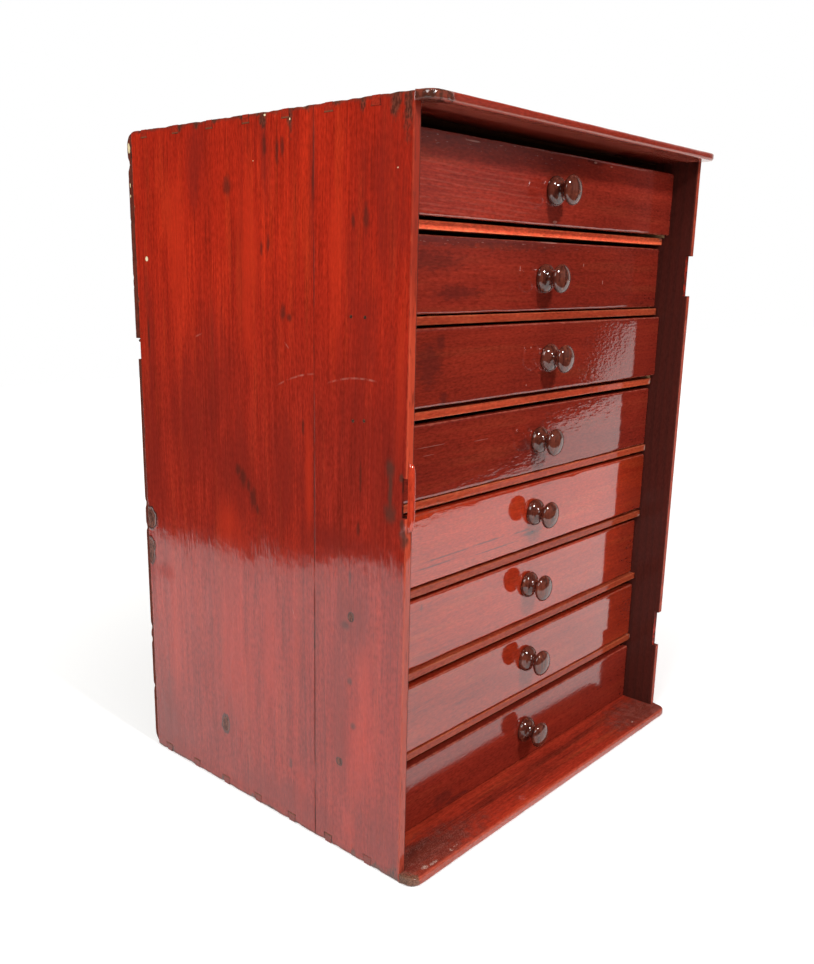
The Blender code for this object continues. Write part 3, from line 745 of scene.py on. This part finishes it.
def plain_marks(knots, axes):
    """A few knots on a board that the photograph doesn't show, given as places and half sizes on two axes."""

    def marks(graph, grain, colour, height, patch):
        soft = (graph.speckle(90, 3) - 0.5) * 1.6
        for mark in knots:
            middle, half = [0, 0, 0], [0, 0, 0]
            for axis, place, size in zip(axes, mark[:2], mark[2:]):
                middle[axis], half[axis] = place, size
            colour = colour.mix(graph.spot(soft, middle, half) * 0.6, (0.070, 0.015, 0.010))
            heart = graph.spot(soft, middle, dim(half, 0.7))
            colour = colour.mix(heart * 0.5, grain.mottled((0.17, 0.026, 0.015)))
        colour = colour.mix(end_grain(graph), grain.mottled((0.30, 0.022, 0.010)))
        return colour, height, 1.0

    return marks


RIGHT_KNOTS = plain_marks(
    ((0.09, 0.41, 0.008, 0.012), (-0.06, 0.17, 0.006, 0.009), (0.13, 0.08, 0.005, 0.008)), (1, 2)
)
TOP_KNOTS = plain_marks(((-0.08, 0.05, 0.012, 0.008), (0.11, -0.07, 0.009, 0.006)), (0, 1))


def right_marks(graph, grain, colour, height, patch):
    """Plain knots on the right side, and a front edge rubbed dull."""
    colour, height, coat = RIGHT_KNOTS(graph, grain, colour, height, patch)
    front = (graph.y + (patch - 0.5) * 0.003).step(EDGE_Y + 0.0030, EDGE_Y + 0.0008)
    colour = colour.mix(front * 0.9, graph.scale((0.30, 0.050, 0.026), patch * 1.4 + 0.3))
    return colour, height, coat - front * 0.75


def top_marks(graph, grain, colour, height, patch):
    """A battered left corner on the top board's lip, a pale lower arris that is partly worn and partly
    painted highlight, painted bounce light under the lip's front, and plain knots behind it.
    """
    colour, height, coat = TOP_KNOTS(graph, grain, colour, height, patch)
    ragged = (patch - 0.5) * 1.6
    nose = (graph.y + ragged * 0.0006).step(-0.1680, -0.1700)
    colour = colour.mix(nose * 0.65, grain.mottled((0.27, 0.028, 0.015), 1.0, 0.5))
    below = HEIGHT - TOP_THICK
    # painted bounce light: the front of the lip's underside is painted lighter, where light from the floor
    # falls
    under = graph.z.step(below + 0.0014, below + 0.0004) * graph.y.step(-0.140, -0.150)
    colour = colour.mix(under * 0.8, graph.scale((0.52, 0.105, 0.070), grain.streak * 0.8 + 0.6))
    # a pale line along the lip's lower arris, partly worn finish and partly painted highlight
    arris = abs(graph.z - HEIGHT + TOP_THICK - 0.0009 + ragged * 0.0008).step(0.0011, 0.0004)
    colour = colour.mix(arris * graph.y.step(-0.160, -0.168) * 0.25, grain.mottled((0.46, 0.14, 0.09)))
    corner = graph.spot(ragged, (-0.208, -0.166, HEIGHT), (0.022, 0.016, 0.011), (1.3, 0.6))
    colour = colour.mix(corner * 0.85, graph.mix(patch.step(0.42, 0.60), *BATTERED))
    return colour, height + graph.speckle(260, 2) * corner * 4.5, coat


# Marks on the bottom board's lip, as middles and half sizes
BOTTOM_DUSTY = (((-0.18, -0.155, 0), (0.075, 0.020, 0)), ((0.18, -0.155, 0), (0.06, 0.022, 0)))
BOTTOM_BARE = ((-0.213, -0.167, 0.004), (0.012, 0.011, 0.012))
BOTTOM_TORN = (
    ((-0.189, -0.1655, 0), (0.004, 0.0022, 0)), ((-0.180, -0.1668, 0), (0.006, 0.0014, 0)),
    ((-0.157, -0.166, 0), (0.0018, 0.0018, 0)), ((-0.150, -0.1650, 0), (0.003, 0.0008, 0)),
    ((0.151, -0.1624, 0), (0.002, 0.0008, 0)),
)


def bottom_marks(graph, grain, colour, height, patch):
    """Dirt, scuffs and bare wood on the bottom board's lip, and end grain on its pins."""
    ragged = (patch - 0.5) * 1.4
    grit = graph.speckle(900, 4)
    haze = graph.speckle(130, 3)
    colour = colour.mix(end_grain(graph), grain.mottled((0.16, 0.022, 0.014)))
    dusty = graph.spots(BOTTOM_DUSTY, ragged, (1.4, 0.4))
    colour = colour.mix(dusty * 0.75, graph.mix((grit + (haze - 0.5) * 0.6).step(0.42, 0.74), *DUST))
    nose = (graph.y + ragged * 0.0006).step(-0.1692, -0.1706)
    colour = colour.mix(nose * 0.7, grain.mottled((0.36, 0.065, 0.038), 1.0, 0.5))
    bare = graph.spot(ragged, *BOTTOM_BARE)
    colour = colour.mix(bare * 0.8, graph.mix(grit.step(0.36, 0.64), *BARE))
    torn = graph.spots(BOTTOM_TORN, ragged * 1.3, (1.2, 0.5)) * grit.step(0.42, 0.56)
    colour = colour.mix(torn * 0.75, TORN)
    flat = graph.z.step(BOTTOM_THICK - 0.0012, BOTTOM_THICK - 0.0004)
    return colour, height + grit * dusty * 0.3, 1.0 - dusty * 0.6 - flat * 0.35


# Drawer fronts by number. Marks: place in the frame, half width and half height, in millimetres
DRAWER_DARK = {
    1: ((54, 555.5, 14, 2.5),),
    2: ((-150, 470, 40, 8), (-120, 447, 30, 6)),
    3: ((-145, 411, 5, 6), (-140, 369, 5, 5), (-158, 395, 16, 16)),
    4: ((-20, 318, 10, 6),),
    5: (
        (-120, 241, 34, 0.7), (-70, 241.5, 30, 0.8), (-18, 240.5, 16, 0.9), (-6, 236.5, 14, 1.6),
        (-140, 236, 26, 0.7), (-60, 233, 40, 0.6),
    ),
    6: ((-149, 202, 1.5, 3),),
    8: ((-100, 12, 22, 2.5), (-118, 20, 16, 6)),
}
DRAWER_PALE = {
    1: ((54, 555.2, 3, 0.9), (81, 554, 2, 0.7), (-119, 554.5, 9, 0.6), (-5, 503.5, 3, 1.2)),
    2: ((-38, 466, 0.6, 1.8), (1, 487.5, 12, 0.7), (60, 470, 0.6, 1.5), (95, 455, 0.6, 1.8)),
    3: ((-25.7, 401.9, 0.9, 0.9), (-30, 371, 0.7, 0.7)),
    4: ((-147, 332.6, 16, 0.3), (-84, 330, 9, 0.3), (-68, 303, 5, 0.4), (-150, 326, 8, 0.25)),
}
TOP_SHADOW_BANDS = {1: (0.017, 0.45), 2: (0.010, 0.22)}  # depth of a painted shadow along the top, and how much painted light lightens the left
# Bright fronts: the share of their brightness that painted shade takes away towards the right end, beside the
# right side, and the rest
BRIGHT_FRONT_SHADE = {5: (0.38, 0.62), 6: (0.38, 0.62), 7: (0.22, 0.78)}
DRAWER_STAINS = (  # depth of the stain, and relief
    (1.10, LINED), (1.00, SMOOTH), (1.00, CRACKLED), (1.02, CRAZED),
    (0.97, SMOOTH), (0.92, SMOOTH), (0.74, SMOOTH), (1.02, CRACKLED),
)


def top_shadow_band(graph, colour, ragged, high, depth, lighter):
    """Painted shadow along the top of a front, dark and flecked, and painted light on its left."""
    # painted shadow along the top of the front, fading to the right
    band = (graph.z + ragged * 0.008).step(high - depth, high - 0.004)
    band = band * (graph.x.step(0.07, -0.05) * 0.7 + 0.3)
    colour = colour.mix(band * 0.55, (0.040, 0.012, 0.011))
    flecks = graph.noise(graph.x * 160, graph.z * 700, 4.0, 2).step(0.64, 0.72) * band
    colour = colour.mix(flecks * 0.5, (0.26, 0.13, 0.11))
    # painted light on the left of the front
    return colour.scale(graph.x.step(0.06, -0.10) * lighter + 1.0)


def grain_rows(graph, high):
    """1 on the raised rows of the grain at the left of the first front."""
    bend = graph.noise(graph.x * 20, graph.z * 40, 2.0, 2) * 0.0035
    rows = graph.math("SINE", (graph.z + graph.x * 0.03 + bend) * (2 * math.pi / 0.0040)) * 0.5 + 0.5
    rows = rows.step(0.45, 0.95) * graph.noise(graph.x * 40, graph.z * 260, 3.0, 2).step(0.36, 0.60)
    return rows * graph.x.step(-0.01, -0.06) * graph.z.step(high - 0.016, high - 0.024)


def drawer_marks(number, high):
    """A drawer front's own stains and scratches, with painted shadow along the top and painted light on the
    first two, and painted shade at the right ends of the bright ones.
    """

    def marks(graph, grain, colour, height, patch):
        ragged = (graph.noise(graph.x * 110, graph.z * 330, 0.0, 3) - 0.5) * 1.6
        if number in TOP_SHADOW_BANDS:
            colour = top_shadow_band(graph, colour, ragged, high, *TOP_SHADOW_BANDS[number])
        if number == 1:
            # painted light on the first front's top right, where the lip's shadow falls
            lit = graph.x.step(0.02, 0.12) * graph.z.step(high - 0.034, high - 0.010)
            rows = grain_rows(graph, high)
            colour = colour.scale(lit * 0.55 + 1.0).mix(rows * 0.17, (0.42, 0.12, 0.085))
            height = height + rows * 0.25
        if number in DRAWER_DARK:
            dark = graph.spots(on_front(DRAWER_DARK[number]), ragged, (1.4, 0.4))
            colour = colour.mix(dark * (0.75 if number == 5 else 0.50), (0.050, 0.010, 0.009))
        if number in DRAWER_PALE:
            pale = graph.spots(on_front(DRAWER_PALE[number]), ragged * 0.9)
            colour = colour.mix(pale * (0.25 if number == 4 else 0.5), (0.50, 0.24, 0.19))
        # painted shade towards the right end of a bright front, beside the right side
        if number in BRIGHT_FRONT_SHADE:
            fading, rest = BRIGHT_FRONT_SHADE[number]
            colour = colour.scale(graph.x.step(0.19, 0.12) * fading + rest)
        return colour, height, 1.0

    return marks


def divider_marks(graph, grain, colour, height, patch):
    """Darker fronts low down, a dull second divider, a bright first one, and crumbled right ends."""
    rise = graph.z.step(0.24, 0.34) * 0.30 + graph.z.step(0.37, 0.42) * 0.15 + graph.z.step(0.43, 0.49) * 0.80
    colour = colour.scale(rise + 0.55)
    colour = colour.scale(abs(graph.z - 0.427).step(0.010, 0.005) * -0.34 + 1.0)
    end = graph.x.step(0.1975, 0.2015) * patch.step(0.50, 0.60)
    return colour.mix(end * 0.7, (0.42, 0.30, 0.25)), height, 0.45


BACK_SPECKS = (  # paint on the back panel's left edge
    ((-HALF_WIDTH, 0.1685, 0.562), (0.004, 0.0016, 0.0042)),
    ((-HALF_WIDTH, 0.1712, 0.548), (0.003, 0.0008, 0.0022)),
    ((-HALF_WIDTH, 0.1690, 0.531), (0.003, 0.0006, 0.0018)),
    ((-HALF_WIDTH, 0.1690, 0.522), (0.003, 0.0006, 0.0012)),
)


def back_marks(graph, colour):
    """Paint specks and grime on the back panel's left edge."""
    patch = graph.speckle(170, 3)
    edge = graph.x.step(-HALF_WIDTH + 0.0045, -HALF_WIDTH + 0.0025)
    colour = colour.mix(edge * 0.85, graph.scale((0.11, 0.022, 0.014), patch * 1.4 + 0.3))
    return colour.mix(graph.spots(BACK_SPECKS, (patch - 0.5) * 1.8) * 0.9, OLD_PAINT)


def inside_of(hand):
    """Dull dark brown on the inner face of a side."""
    return INNER_BROWN, lambda graph: (graph.x * hand).step(INNER_X + 0.0016, INNER_X + 0.0006)


def behind(place, tint):
    """Unfinished wood further back than a place."""
    return tint, lambda graph: graph.y.step(place, place + 0.010)


def inside_case(place, hand):
    """Unfinished wood inside the case, on the face of the top or bottom board that looks at the drawers."""

    def share(graph):
        return graph.y.step(-0.125, -0.110) * ((graph.z - place) * hand).step(-0.0004, 0.0004)

    return RAW_PINE, share


def bare_pine(name, dark, bright, roughness, axes=(2, 1, 0), marks=None):
    """Unvarnished pine of the drawer boxes and the back."""
    graph = Graph(name)
    grain = Pine(graph, axes, 11.0, ring=0.0036)
    tone = grain.broad * 0.8 + grain.streak * 0.6 + grain.fibre * 0.5 - 0.45
    colour = graph.mix(tone.step(0.1, 0.9), dark, bright)
    colour = colour.mix(grain.late * 0.55, dim(dark, 0.6))
    colour = colour.mix(grain.dash * 0.4, dim(dark, 0.4))
    if marks:
        colour = marks(graph, colour)
    height = grain.fibre * 0.5 + grain.late * 0.3
    return graph.varnish(
        colour, height, distance=0.0001, roughness=roughness, coat_ior=1.5, coat_roughness=0.3, coat=0.08
    )


def knob_wood(name):
    graph = Graph(name)
    grain = Pine(graph, (0, 2, 1), 4.0, ring=0.0021)
    patch = graph.speckle(260, 3)
    colour = graph.mix(grain.streak.step(0.3, 0.7), (0.052, 0.012, 0.008), (0.130, 0.030, 0.018))
    colour = colour.mix(patch.step(0.50, 0.8), (0.18, 0.047, 0.026))
    height = grain.streak * 0.5 + patch * 0.8
    return graph.varnish(
        colour, height, distance=0.00005, roughness=0.35, coat_ior=1.62, coat_roughness=0.07
    )


def nail_iron(name):
    graph = Graph(name)
    rust = graph.speckle(900, 3)
    colour = graph.mix(rust.step(0.4, 0.65), *RUST)
    return graph.varnish(
        colour, rust, distance=0.00008, roughness=0.5, coat_ior=1.5, coat_roughness=0.25, coat=0.3
    )


# Case


def end_cuts(hand):
    """What is cut from an end of the top or bottom board, so that its pins are left."""
    near_x, far_x = sorted((hand * (INNER_X - 2 * JOINT), hand * FAR))
    starts = [EDGE_Y - JOINT, *(middle + PIN_HALF - JOINT for middle in PIN_MIDDLES)]
    ends = [*(middle - PIN_HALF + JOINT for middle in PIN_MIDDLES), FAR]
    return [((near_x, start, -FAR), (far_x, end, FAR)) for start, end in zip(starts, ends)]


def socket_cuts():
    """Sockets for the pins in both ends of a side."""
    cuts = []
    for middle in PIN_MIDDLES:
        low, high = middle - PIN_HALF, middle + PIN_HALF
        cuts.append(((-FAR, low, HEIGHT - TOP_THICK - JOINT), (FAR, high, FAR)))
        cuts.append(((-FAR, low, -FAR), (FAR, high, BOTTOM_THICK + JOINT)))
    return cuts


def housing_cuts(hand):
    """Housings for the dividers in the inner face of a side."""
    cuts = []
    for number in range(1, DRAWERS):
        low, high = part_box(f"divider_{number}")
        start, end = sorted((0, hand * (high.x + JOINT)))
        cuts.append(((start, low.y - JOINT, low.z - JOINT), (end, FAR, high.z + JOINT)))
    return cuts


def edge_dents():
    """Small bruises along the upper and lower outer edges of the left side."""
    dents = []
    for end, step in ((HEIGHT, 0.0137), (0.0, 0.0151)):
        for count in range(23):
            turn = math.sin(count * 7.3 + end * 40)
            place = (-HALF_WIDTH, EDGE_Y + 0.008 + count * step + 0.005 * math.sin(count * 3.1), end)
            push = 0.0001 + 0.0004 * turn * turn
            reach = (0.003, 0.0020 + 0.0015 * abs(turn), 0.003)
            dents.append((place, reach, (push, 0, push if end == 0 else -push)))
    return dents


def side(name, hand, material, cuts, dents, seed):
    low = (min(hand * HALF_WIDTH, hand * INNER_X), EDGE_Y, 0)
    high = (max(hand * HALF_WIDTH, hand * INNER_X), BOARD_END, HEIGHT)
    every_cut = [*socket_cuts(), *housing_cuts(hand), *cuts]
    made = board(
        name, low, high, material, radius=0.0009, spacing=(0.0025, 0.0028, 0.0028), seed=seed,
        cuts=every_cut, warps=(splay, round_back), dents=dents, thin=0, sway=0.00016, chips=0.8,
    )
    dress(made, "case", "case", "left_side" if hand < 0 else "right_side")


def lipped(name, low_z, high_z, material, seed):
    low = (-HALF_WIDTH, LIP_Y, low_z)
    high = (HALF_WIDTH, BOARD_END, high_z)
    made = board(
        name, low, high, material, radius=LIP_NOSE, spacing=(0.0050, 0.0050, 0.0025), seed=seed,
        cuts=end_cuts(-1) + end_cuts(1), warps=(splay, round_back, round_lip),
        thin=2, sway=0.00012, rag=0.35, radius_behind=0.0002,
    )
    dress(made, "case", "case", "top_board" if high_z == HEIGHT else "bottom_board")


def keeper(material):
    """Boat-shaped strip of wood over the lock's cut."""
    rows = 41
    ring = 16
    points = []
    for row in range(rows):
        along = -1 + 2 * row / (rows - 1)
        full = (1 - abs(along) ** 5) ** 0.5
        thick = KEEPER_THICK * (0.18 + 0.82 * full)
        half = KEEPER_WIDTH / 2 * (0.55 + 0.45 * full)
        for step in range(ring):
            turn = math.pi * step / (ring - 1)
            points.append((
                KEEPER_LEFT + KEEPER_WIDTH / 2 - half * math.cos(turn),
                EDGE_Y - thick * math.sin(turn),
                KEEPER_MIDDLE + KEEPER_HALF * along,
            ))
    points = np.array(points)
    points[:, 1] += 0.00012 * noise_at(points, 160, 3)
    faces = []
    for first in range(0, (rows - 1) * ring, ring):
        for step in range(ring):
            after = (step + 1) % ring
            faces.append((first + step, first + ring + step, first + ring + after, first + after))
    faces.append(tuple(range(ring)))
    faces.append(tuple(range(rows * ring - 1, (rows - 1) * ring - 1, -1)))
    dress(add_mesh("keeper_strip", points, faces, material), "case", "case")


def add_nails():
    """Heads of the nails in the left side and round the back panel."""
    places = [((-HALF_WIDTH, EDGE_Y + depth, rise), LEFTWARD) for depth, rise in SIDE_NAILS]
    for step in range(8):
        rise = NAIL_ENDS + step * (HEIGHT - 2 * NAIL_ENDS) / 7
        places += [((hand * (HALF_WIDTH - NAIL_RIM), BACK_Y, rise), BACKWARD) for hand in (-1, 1)]
    for step in range(1, 6):
        across = -HALF_WIDTH + step * HALF_WIDTH / 3
        places += [((across, BACK_Y, rise), BACKWARD) for rise in (NAIL_RISE, HEIGHT - NAIL_RISE)]
    points, faces, total = [], [], 0
    for seed, (place, axes) in enumerate(places):
        head, rings = turned(NAIL, 12, place, axes, seed)
        points.append(head)
        faces.extend(tuple(total + corner for corner in ring) for ring in rings)
        total += len(head)
    dress(add_mesh("case_nails", np.concatenate(points), faces, nail_iron("nail_iron")), "case", "case")


def build_sides():
    left = stained(
        "left_side_pine", (1, 2, 0), 1.0, RED, 1.59, left_marks, inside_of(-1), left_shade, FIBROUS,
        gloss=0.095, dashes=0.30,
    )
    right = stained("right_side_pine", (1, 2, 0), 21.0, RED, marks=right_marks, dull=inside_of(1))
    lock = [
        ((-HALF_WIDTH + LOCK_WALL, -FAR, LOCK_SPAN[0]), (0, EDGE_Y + LOCK_DEPTH, LOCK_SPAN[1])),
        ((-FAR, -FAR, LOCK_SPAN[0]), (0, EDGE_Y + LOCK_BREAK, LOCK_SPAN[1])),
    ]
    hinges = [((0, -FAR, start), (FAR, EDGE_Y + HINGE_DEPTH, end)) for start, end in HINGE_SPANS]
    left_dents = edge_dents() + [
        ((-HALF_WIDTH, EDGE_Y, 0.2755), (0.004, 0.0045, 0.0075), (0.0022, 0.0018, 0)),
        ((-HALF_WIDTH, EDGE_Y, HEIGHT), (0.006, 0.006, 0.005), (0.0010, 0.0004, -0.0003)),
    ]
    side("left_side_worn", -1, left, lock, left_dents, 1)
    side("right_side_worn", 1, right, hinges, [], 2)


def build_back():
    pine = bare_pine("back_pine", (0.060, 0.024, 0.014), (0.15, 0.065, 0.036), 0.6, (2, 0, 1), back_marks)
    cuts = [
        ((-FAR, -FAR, CHIP_SPAN[0]), (-HALF_WIDTH + CHIP_DEPTH, FAR, CHIP_SPAN[1])),
        ((-FAR, -FAR, -FAR), (-HALF_WIDTH + SHRINKAGE, FAR, CHIP_SPAN[0])),
        BACK_CRACK,
    ]
    nicks = [((-HALF_WIDTH, 0.168, rise), (0.004, 0.006, tall), (0.0024, 0, 0)) for rise, tall in BACK_NICKS]
    panel = board(
        "back_worn", (-HALF_WIDTH, BOARD_END + FIT, 0), (HALF_WIDTH, BACK_Y, HEIGHT), pine, radius=0.0010,
        spacing=(0.006, 0.0030, 0.0028), seed=5, cuts=cuts, warps=(round_back,), dents=nicks,
        thin=1, sway=0.00015, chips=1.2,
    )
    dress(panel, "case", "back", "back_panel")


def build_lips():
    above = inside_case(HEIGHT - TOP_THICK + 0.001, -1)
    below = inside_case(BOTTOM_THICK - 0.001, 1)
    top = stained("top_pine", (1, 0, 2), 31.0, DUSKY, marks=top_marks, dull=above)
    bottom = stained("bottom_pine", (1, 0, 2), 41.0, DEEP_RED, marks=bottom_marks, dull=below)
    lipped("top_worn", HEIGHT - TOP_THICK, HEIGHT, top, 3)
    lipped("bottom_worn", 0, BOTTOM_THICK, bottom, 4)


def build_dividers():
    shelf = stained(
        "divider_pine", (1, 0, 2), 51.0, ORANGE, 1.5, divider_marks, behind(-0.118, RAW_SHELF),
        worn_to=(0.62, 0.14, 0.055),
    )
    for number in range(1, DRAWERS):
        low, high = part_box(f"divider_{number}")
        divider = board(
            f"divider_{number}_worn", low, high, shelf, radius=0.0006, spacing=(0.005, 0.020, 0.0025),
            seed=60 + number, thin=2, sway=0.00010,
        )
        dress(divider, "case", "case", f"divider_{number}")


def build_case():
    build_sides()
    build_lips()
    build_back()
    build_dividers()
    keeper(stained("keeper_pine", (0, 2, 1), 71.0, AMBER, 1.6, relief=SMOOTH))
    add_nails()


# Drawers


def knob_profile():
    """Half outline of a knob as (radius, height), from its crown to the end of its spigot."""
    head_middle = KNOB_PROJECTION - KNOB_HEAD[1]
    outline = []
    for degrees in range(90, -KNOB_WAIST - 1, -8):
        angle = math.radians(degrees)
        outline.append((KNOB_HEAD[0] * math.cos(angle), head_middle + KNOB_HEAD[1] * math.sin(angle)))
    outline[0] = (0.0, KNOB_PROJECTION)
    head_end = outline[-1]
    wide, ring, top = KNOB_BASE
    base = []
    steps = 12
    for step in range(steps + 1):
        angle = math.radians(KNOB_WAIST * (1 - step / steps))
        base.append((wide * math.cos(angle), ring + (top - ring) * math.sin(angle)))
    for step in range(1, steps):
        share = step / steps
        straight = head_end[0] + (base[0][0] - head_end[0]) * share
        waist = (1 - abs(2 * share - 1) ** 2.2) * (straight - KNOB_NECK)
        outline.append((straight - waist, head_end[1] + (base[0][1] - head_end[1]) * share))
    return [*outline, *base, (KNOB_FOOT, 0.0), (SPIGOT[0], 0.0), (SPIGOT[0], -SPIGOT[1]), (0.0, -SPIGOT[1])]


def front_cuts(low, high, knob):
    """Rebates for the drawer's sides, groove for its bottom and hole for its knob."""
    rebate = low.y + FRONT_LAP
    groove = low.z + PANEL_RISE
    return [
        ((-FAR, rebate, -FAR), (-WALL_X + FIT, FAR, FAR)),
        ((WALL_X - FIT, rebate, -FAR), (FAR, FAR, FAR)),
        ((-FAR, high.y - PANEL_HOUSING, groove - FIT), (FAR, FAR, groove + PANEL_THICK + FIT)),
        ((knob[0] - BORE, -FAR, knob[1] - BORE), (knob[0] + BORE, low.y + SPIGOT[1] + FIT, knob[1] + BORE)),
    ]


def drawer_pine(number, high):
    """Stained and varnished wood of a drawer front whose top is at the given height."""
    depth, relief = DRAWER_STAINS[number - 1]
    tones, ior = (BRIGHT_FRONT, 1.76) if number in BRIGHT_FRONT_SHADE else (DEEP_FRONT, 1.62)
    return stained(
        f"drawer_{number}_pine", (2, 0, 1), 80.0 + 7 * number, [dim(tone, depth) for tone in tones], ior,
        drawer_marks(number, high), relief=relief, worn_to=(0.36, 0.09, 0.055),
        gloss=0.085 if number == DRAWERS else 0.05, dashes=0.08,
    )


def build_front(number, low, high, knob):
    body = f"drawer_{number}"
    front = board(
        f"{body}_front_worn", low, high, drawer_pine(number, high.z), radius=FRONT_ROUND,
        spacing=(0.0045, 0.0025, 0.0035), seed=80 + number, cuts=front_cuts(low, high, knob),
        warps=(round_bore(np.array(knob)),), thin=1, sway=0.00013,
    )
    dress(front, body, "drawer_face", f"{body}_front")


def build_knob(number, place, material):
    body = f"drawer_{number}"
    points, faces = turned(knob_profile(), 64, place, FRONTWARD, number)
    handle = add_mesh(f"{body}_knob_turned", points, faces, material)
    dress(handle, body, "knob", f"{body}_knob")


def build_drawers():
    plain = bare_pine("drawer_box_pine", (0.30, 0.16, 0.075), (0.55, 0.35, 0.18), 0.65)
    knobs = knob_wood("knob_wood")
    for number in range(1, DRAWERS + 1):
        low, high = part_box(f"drawer_{number}_front")
        knob_low, knob_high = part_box(f"drawer_{number}_knob")
        knob = ((knob_low.x + knob_high.x) / 2, (knob_low.z + knob_high.z) / 2)
        build_front(number, low, high, knob)
        build_knob(number, (knob[0], low.y - FIT, knob[1]), knobs)
        for part in BOX_PARTS:
            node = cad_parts[f"drawer_{number}_{part}"]
            node.data.materials.clear()
            node.data.materials.append(plain)


# Stage

# Camera, fitted to the photograph
EYE = (-0.69570, -0.57815, 0.46133)
RIGHT = Vector((0.6725, -0.7399, 0.0160))
UP = Vector((0.1654, 0.1714, 0.9712))
FORWARD = Vector((0.7214, 0.6505, -0.2376))
LENS = 23.496
SENSOR = 24.0
SHIFT = (0.01845, 0.02184)

# White sheet on the floor, whose outline the varnish mirrors, and the dim room round it
SHEET = (
    (-0.655, 3.0), (-0.655, 0.82), (-0.69, 0.66), (-0.69, 0.53), (-0.75, 0.48), (-0.80, 0.36), (-0.80, -0.80),
    (0.59, -0.80), (0.85, -0.84), (1.25, -0.96), (1.86, -1.26), (2.63, -1.50), (3.0, -1.81), (4.8, -2.72),
    (9.0, -4.83), (9.0, 3.0),
)
SHEET_Z = -0.0004
ROOM_HALF = 12.0
ROOM_LEVELS = (-0.004, 6.0)  # floor and ceiling
AMBIENT = 0.48  # the world's light on the object


def shown_ray(graph):
    """1 for rays from the camera, a mirror or glass, 0 for the rest."""
    kinds = ("Is Camera Ray", "Is Glossy Ray", "Is Transmission Ray")
    return graph.most([graph.node("LightPath", {}, output=kind) for kind in kinds])


def build_camera():
    lens = bpy.data.cameras.new("camera")
    lens.sensor_fit = "VERTICAL"
    lens.sensor_height = SENSOR
    lens.lens = LENS
    lens.shift_x, lens.shift_y = SHIFT
    camera = bpy.data.objects.new("camera", lens)
    turn = Matrix((RIGHT, UP, -FORWARD)).transposed().to_4x4()
    camera.matrix_world = Matrix.Translation(EYE) @ turn
    bpy.context.scene.collection.objects.link(camera)
    bpy.context.scene.camera = camera


def build_floor():
    graph = Graph("white_sheet")
    away = graph.math("SQRT", graph.x * graph.x + graph.y * graph.y)
    glow = away.step(0.2, 0.8) * 0.2 + away.step(1.2, 2.5) * 0.3 + 0.3
    emission = graph.node("Emission", {"Color": (1, 0.985, 0.95, 1), "Strength": glow * shown_ray(graph)})
    matt = graph.node("BsdfDiffuse", {"Color": (0.8, 0.8, 0.8, 1)})
    white = graph.end(graph.node("AddShader", {0: matt, 1: emission}))
    points = [(x, y, SHEET_Z) for x, y in SHEET]
    sheet = add_mesh("sheet", points, [tuple(range(len(SHEET)))], white)


def build_room():
    """Dim room round the sheet, which only reflections show, with a faint window and a pale backdrop."""
    graph = Graph("dim_room")
    turn = graph.math("ARCTAN2", graph.y * -1, graph.x)
    away = graph.math("SQRT", graph.x * graph.x + graph.y * graph.y)
    rise = graph.math("DIVIDE", graph.z - 0.5, away)
    window = turn.step(0.54, 0.70) * turn.step(1.5, 1.1) * rise.step(-0.03, 0.10) * rise.step(0.6, 0.3)
    backdrop = (graph.x * 0.72 + graph.y * 0.65).step(4.0, 8.0)
    glow = window * 0.2 + backdrop * 0.95 + 0.012
    dim_walls = graph.end(graph.node("Emission", {"Color": (0.9, 0.85, 0.8, 1), "Strength": glow}))
    corners = [(x * ROOM_HALF, y * ROOM_HALF) for x, y in ((-1, -1), (1, -1), (1, 1), (-1, 1))]
    points = [(x, y, z) for z in ROOM_LEVELS for x, y in corners]
    walls = [(0, 1, 2, 3), (4, 5, 6, 7), (0, 1, 5, 4), (1, 2, 6, 5), (2, 3, 7, 6), (3, 0, 4, 7)]
    room = add_mesh("room", points, walls, dim_walls)
    room.visible_camera = room.visible_diffuse = room.visible_transmission = room.visible_shadow = False


def build_world():
    graph = Graph("studio", "World")
    level = graph.node("MapRange", {"Value": shown_ray(graph), "To Min": AMBIENT})
    light = graph.node("Background", {"Color": (1, 1, 1, 1), "Strength": level})
    bpy.context.scene.world = graph.end(light)


def add_lamp(name, place, aim, size, power):
    lamp = bpy.data.lights.new(name, "AREA")
    lamp.size = size
    lamp.energy = power
    made = bpy.data.objects.new(name, lamp)
    made.location = place
    made.rotation_euler = (Vector(aim) - Vector(place)).to_track_quat("-Z", "Y").to_euler()
    bpy.context.scene.collection.objects.link(made)


build_camera()
build_floor()
build_room()
build_world()
add_lamp("key", place=(-0.20, -1.9, 1.95), aim=(0, 0, 0.3), size=0.28, power=42)
add_lamp("fill", place=(-1.6, -0.3, 1.55), aim=(-0.2, 0, 0.42), size=0.9, power=28)
build_case()
build_drawers()

bpy.context.scene.view_settings.view_transform = "Standard"
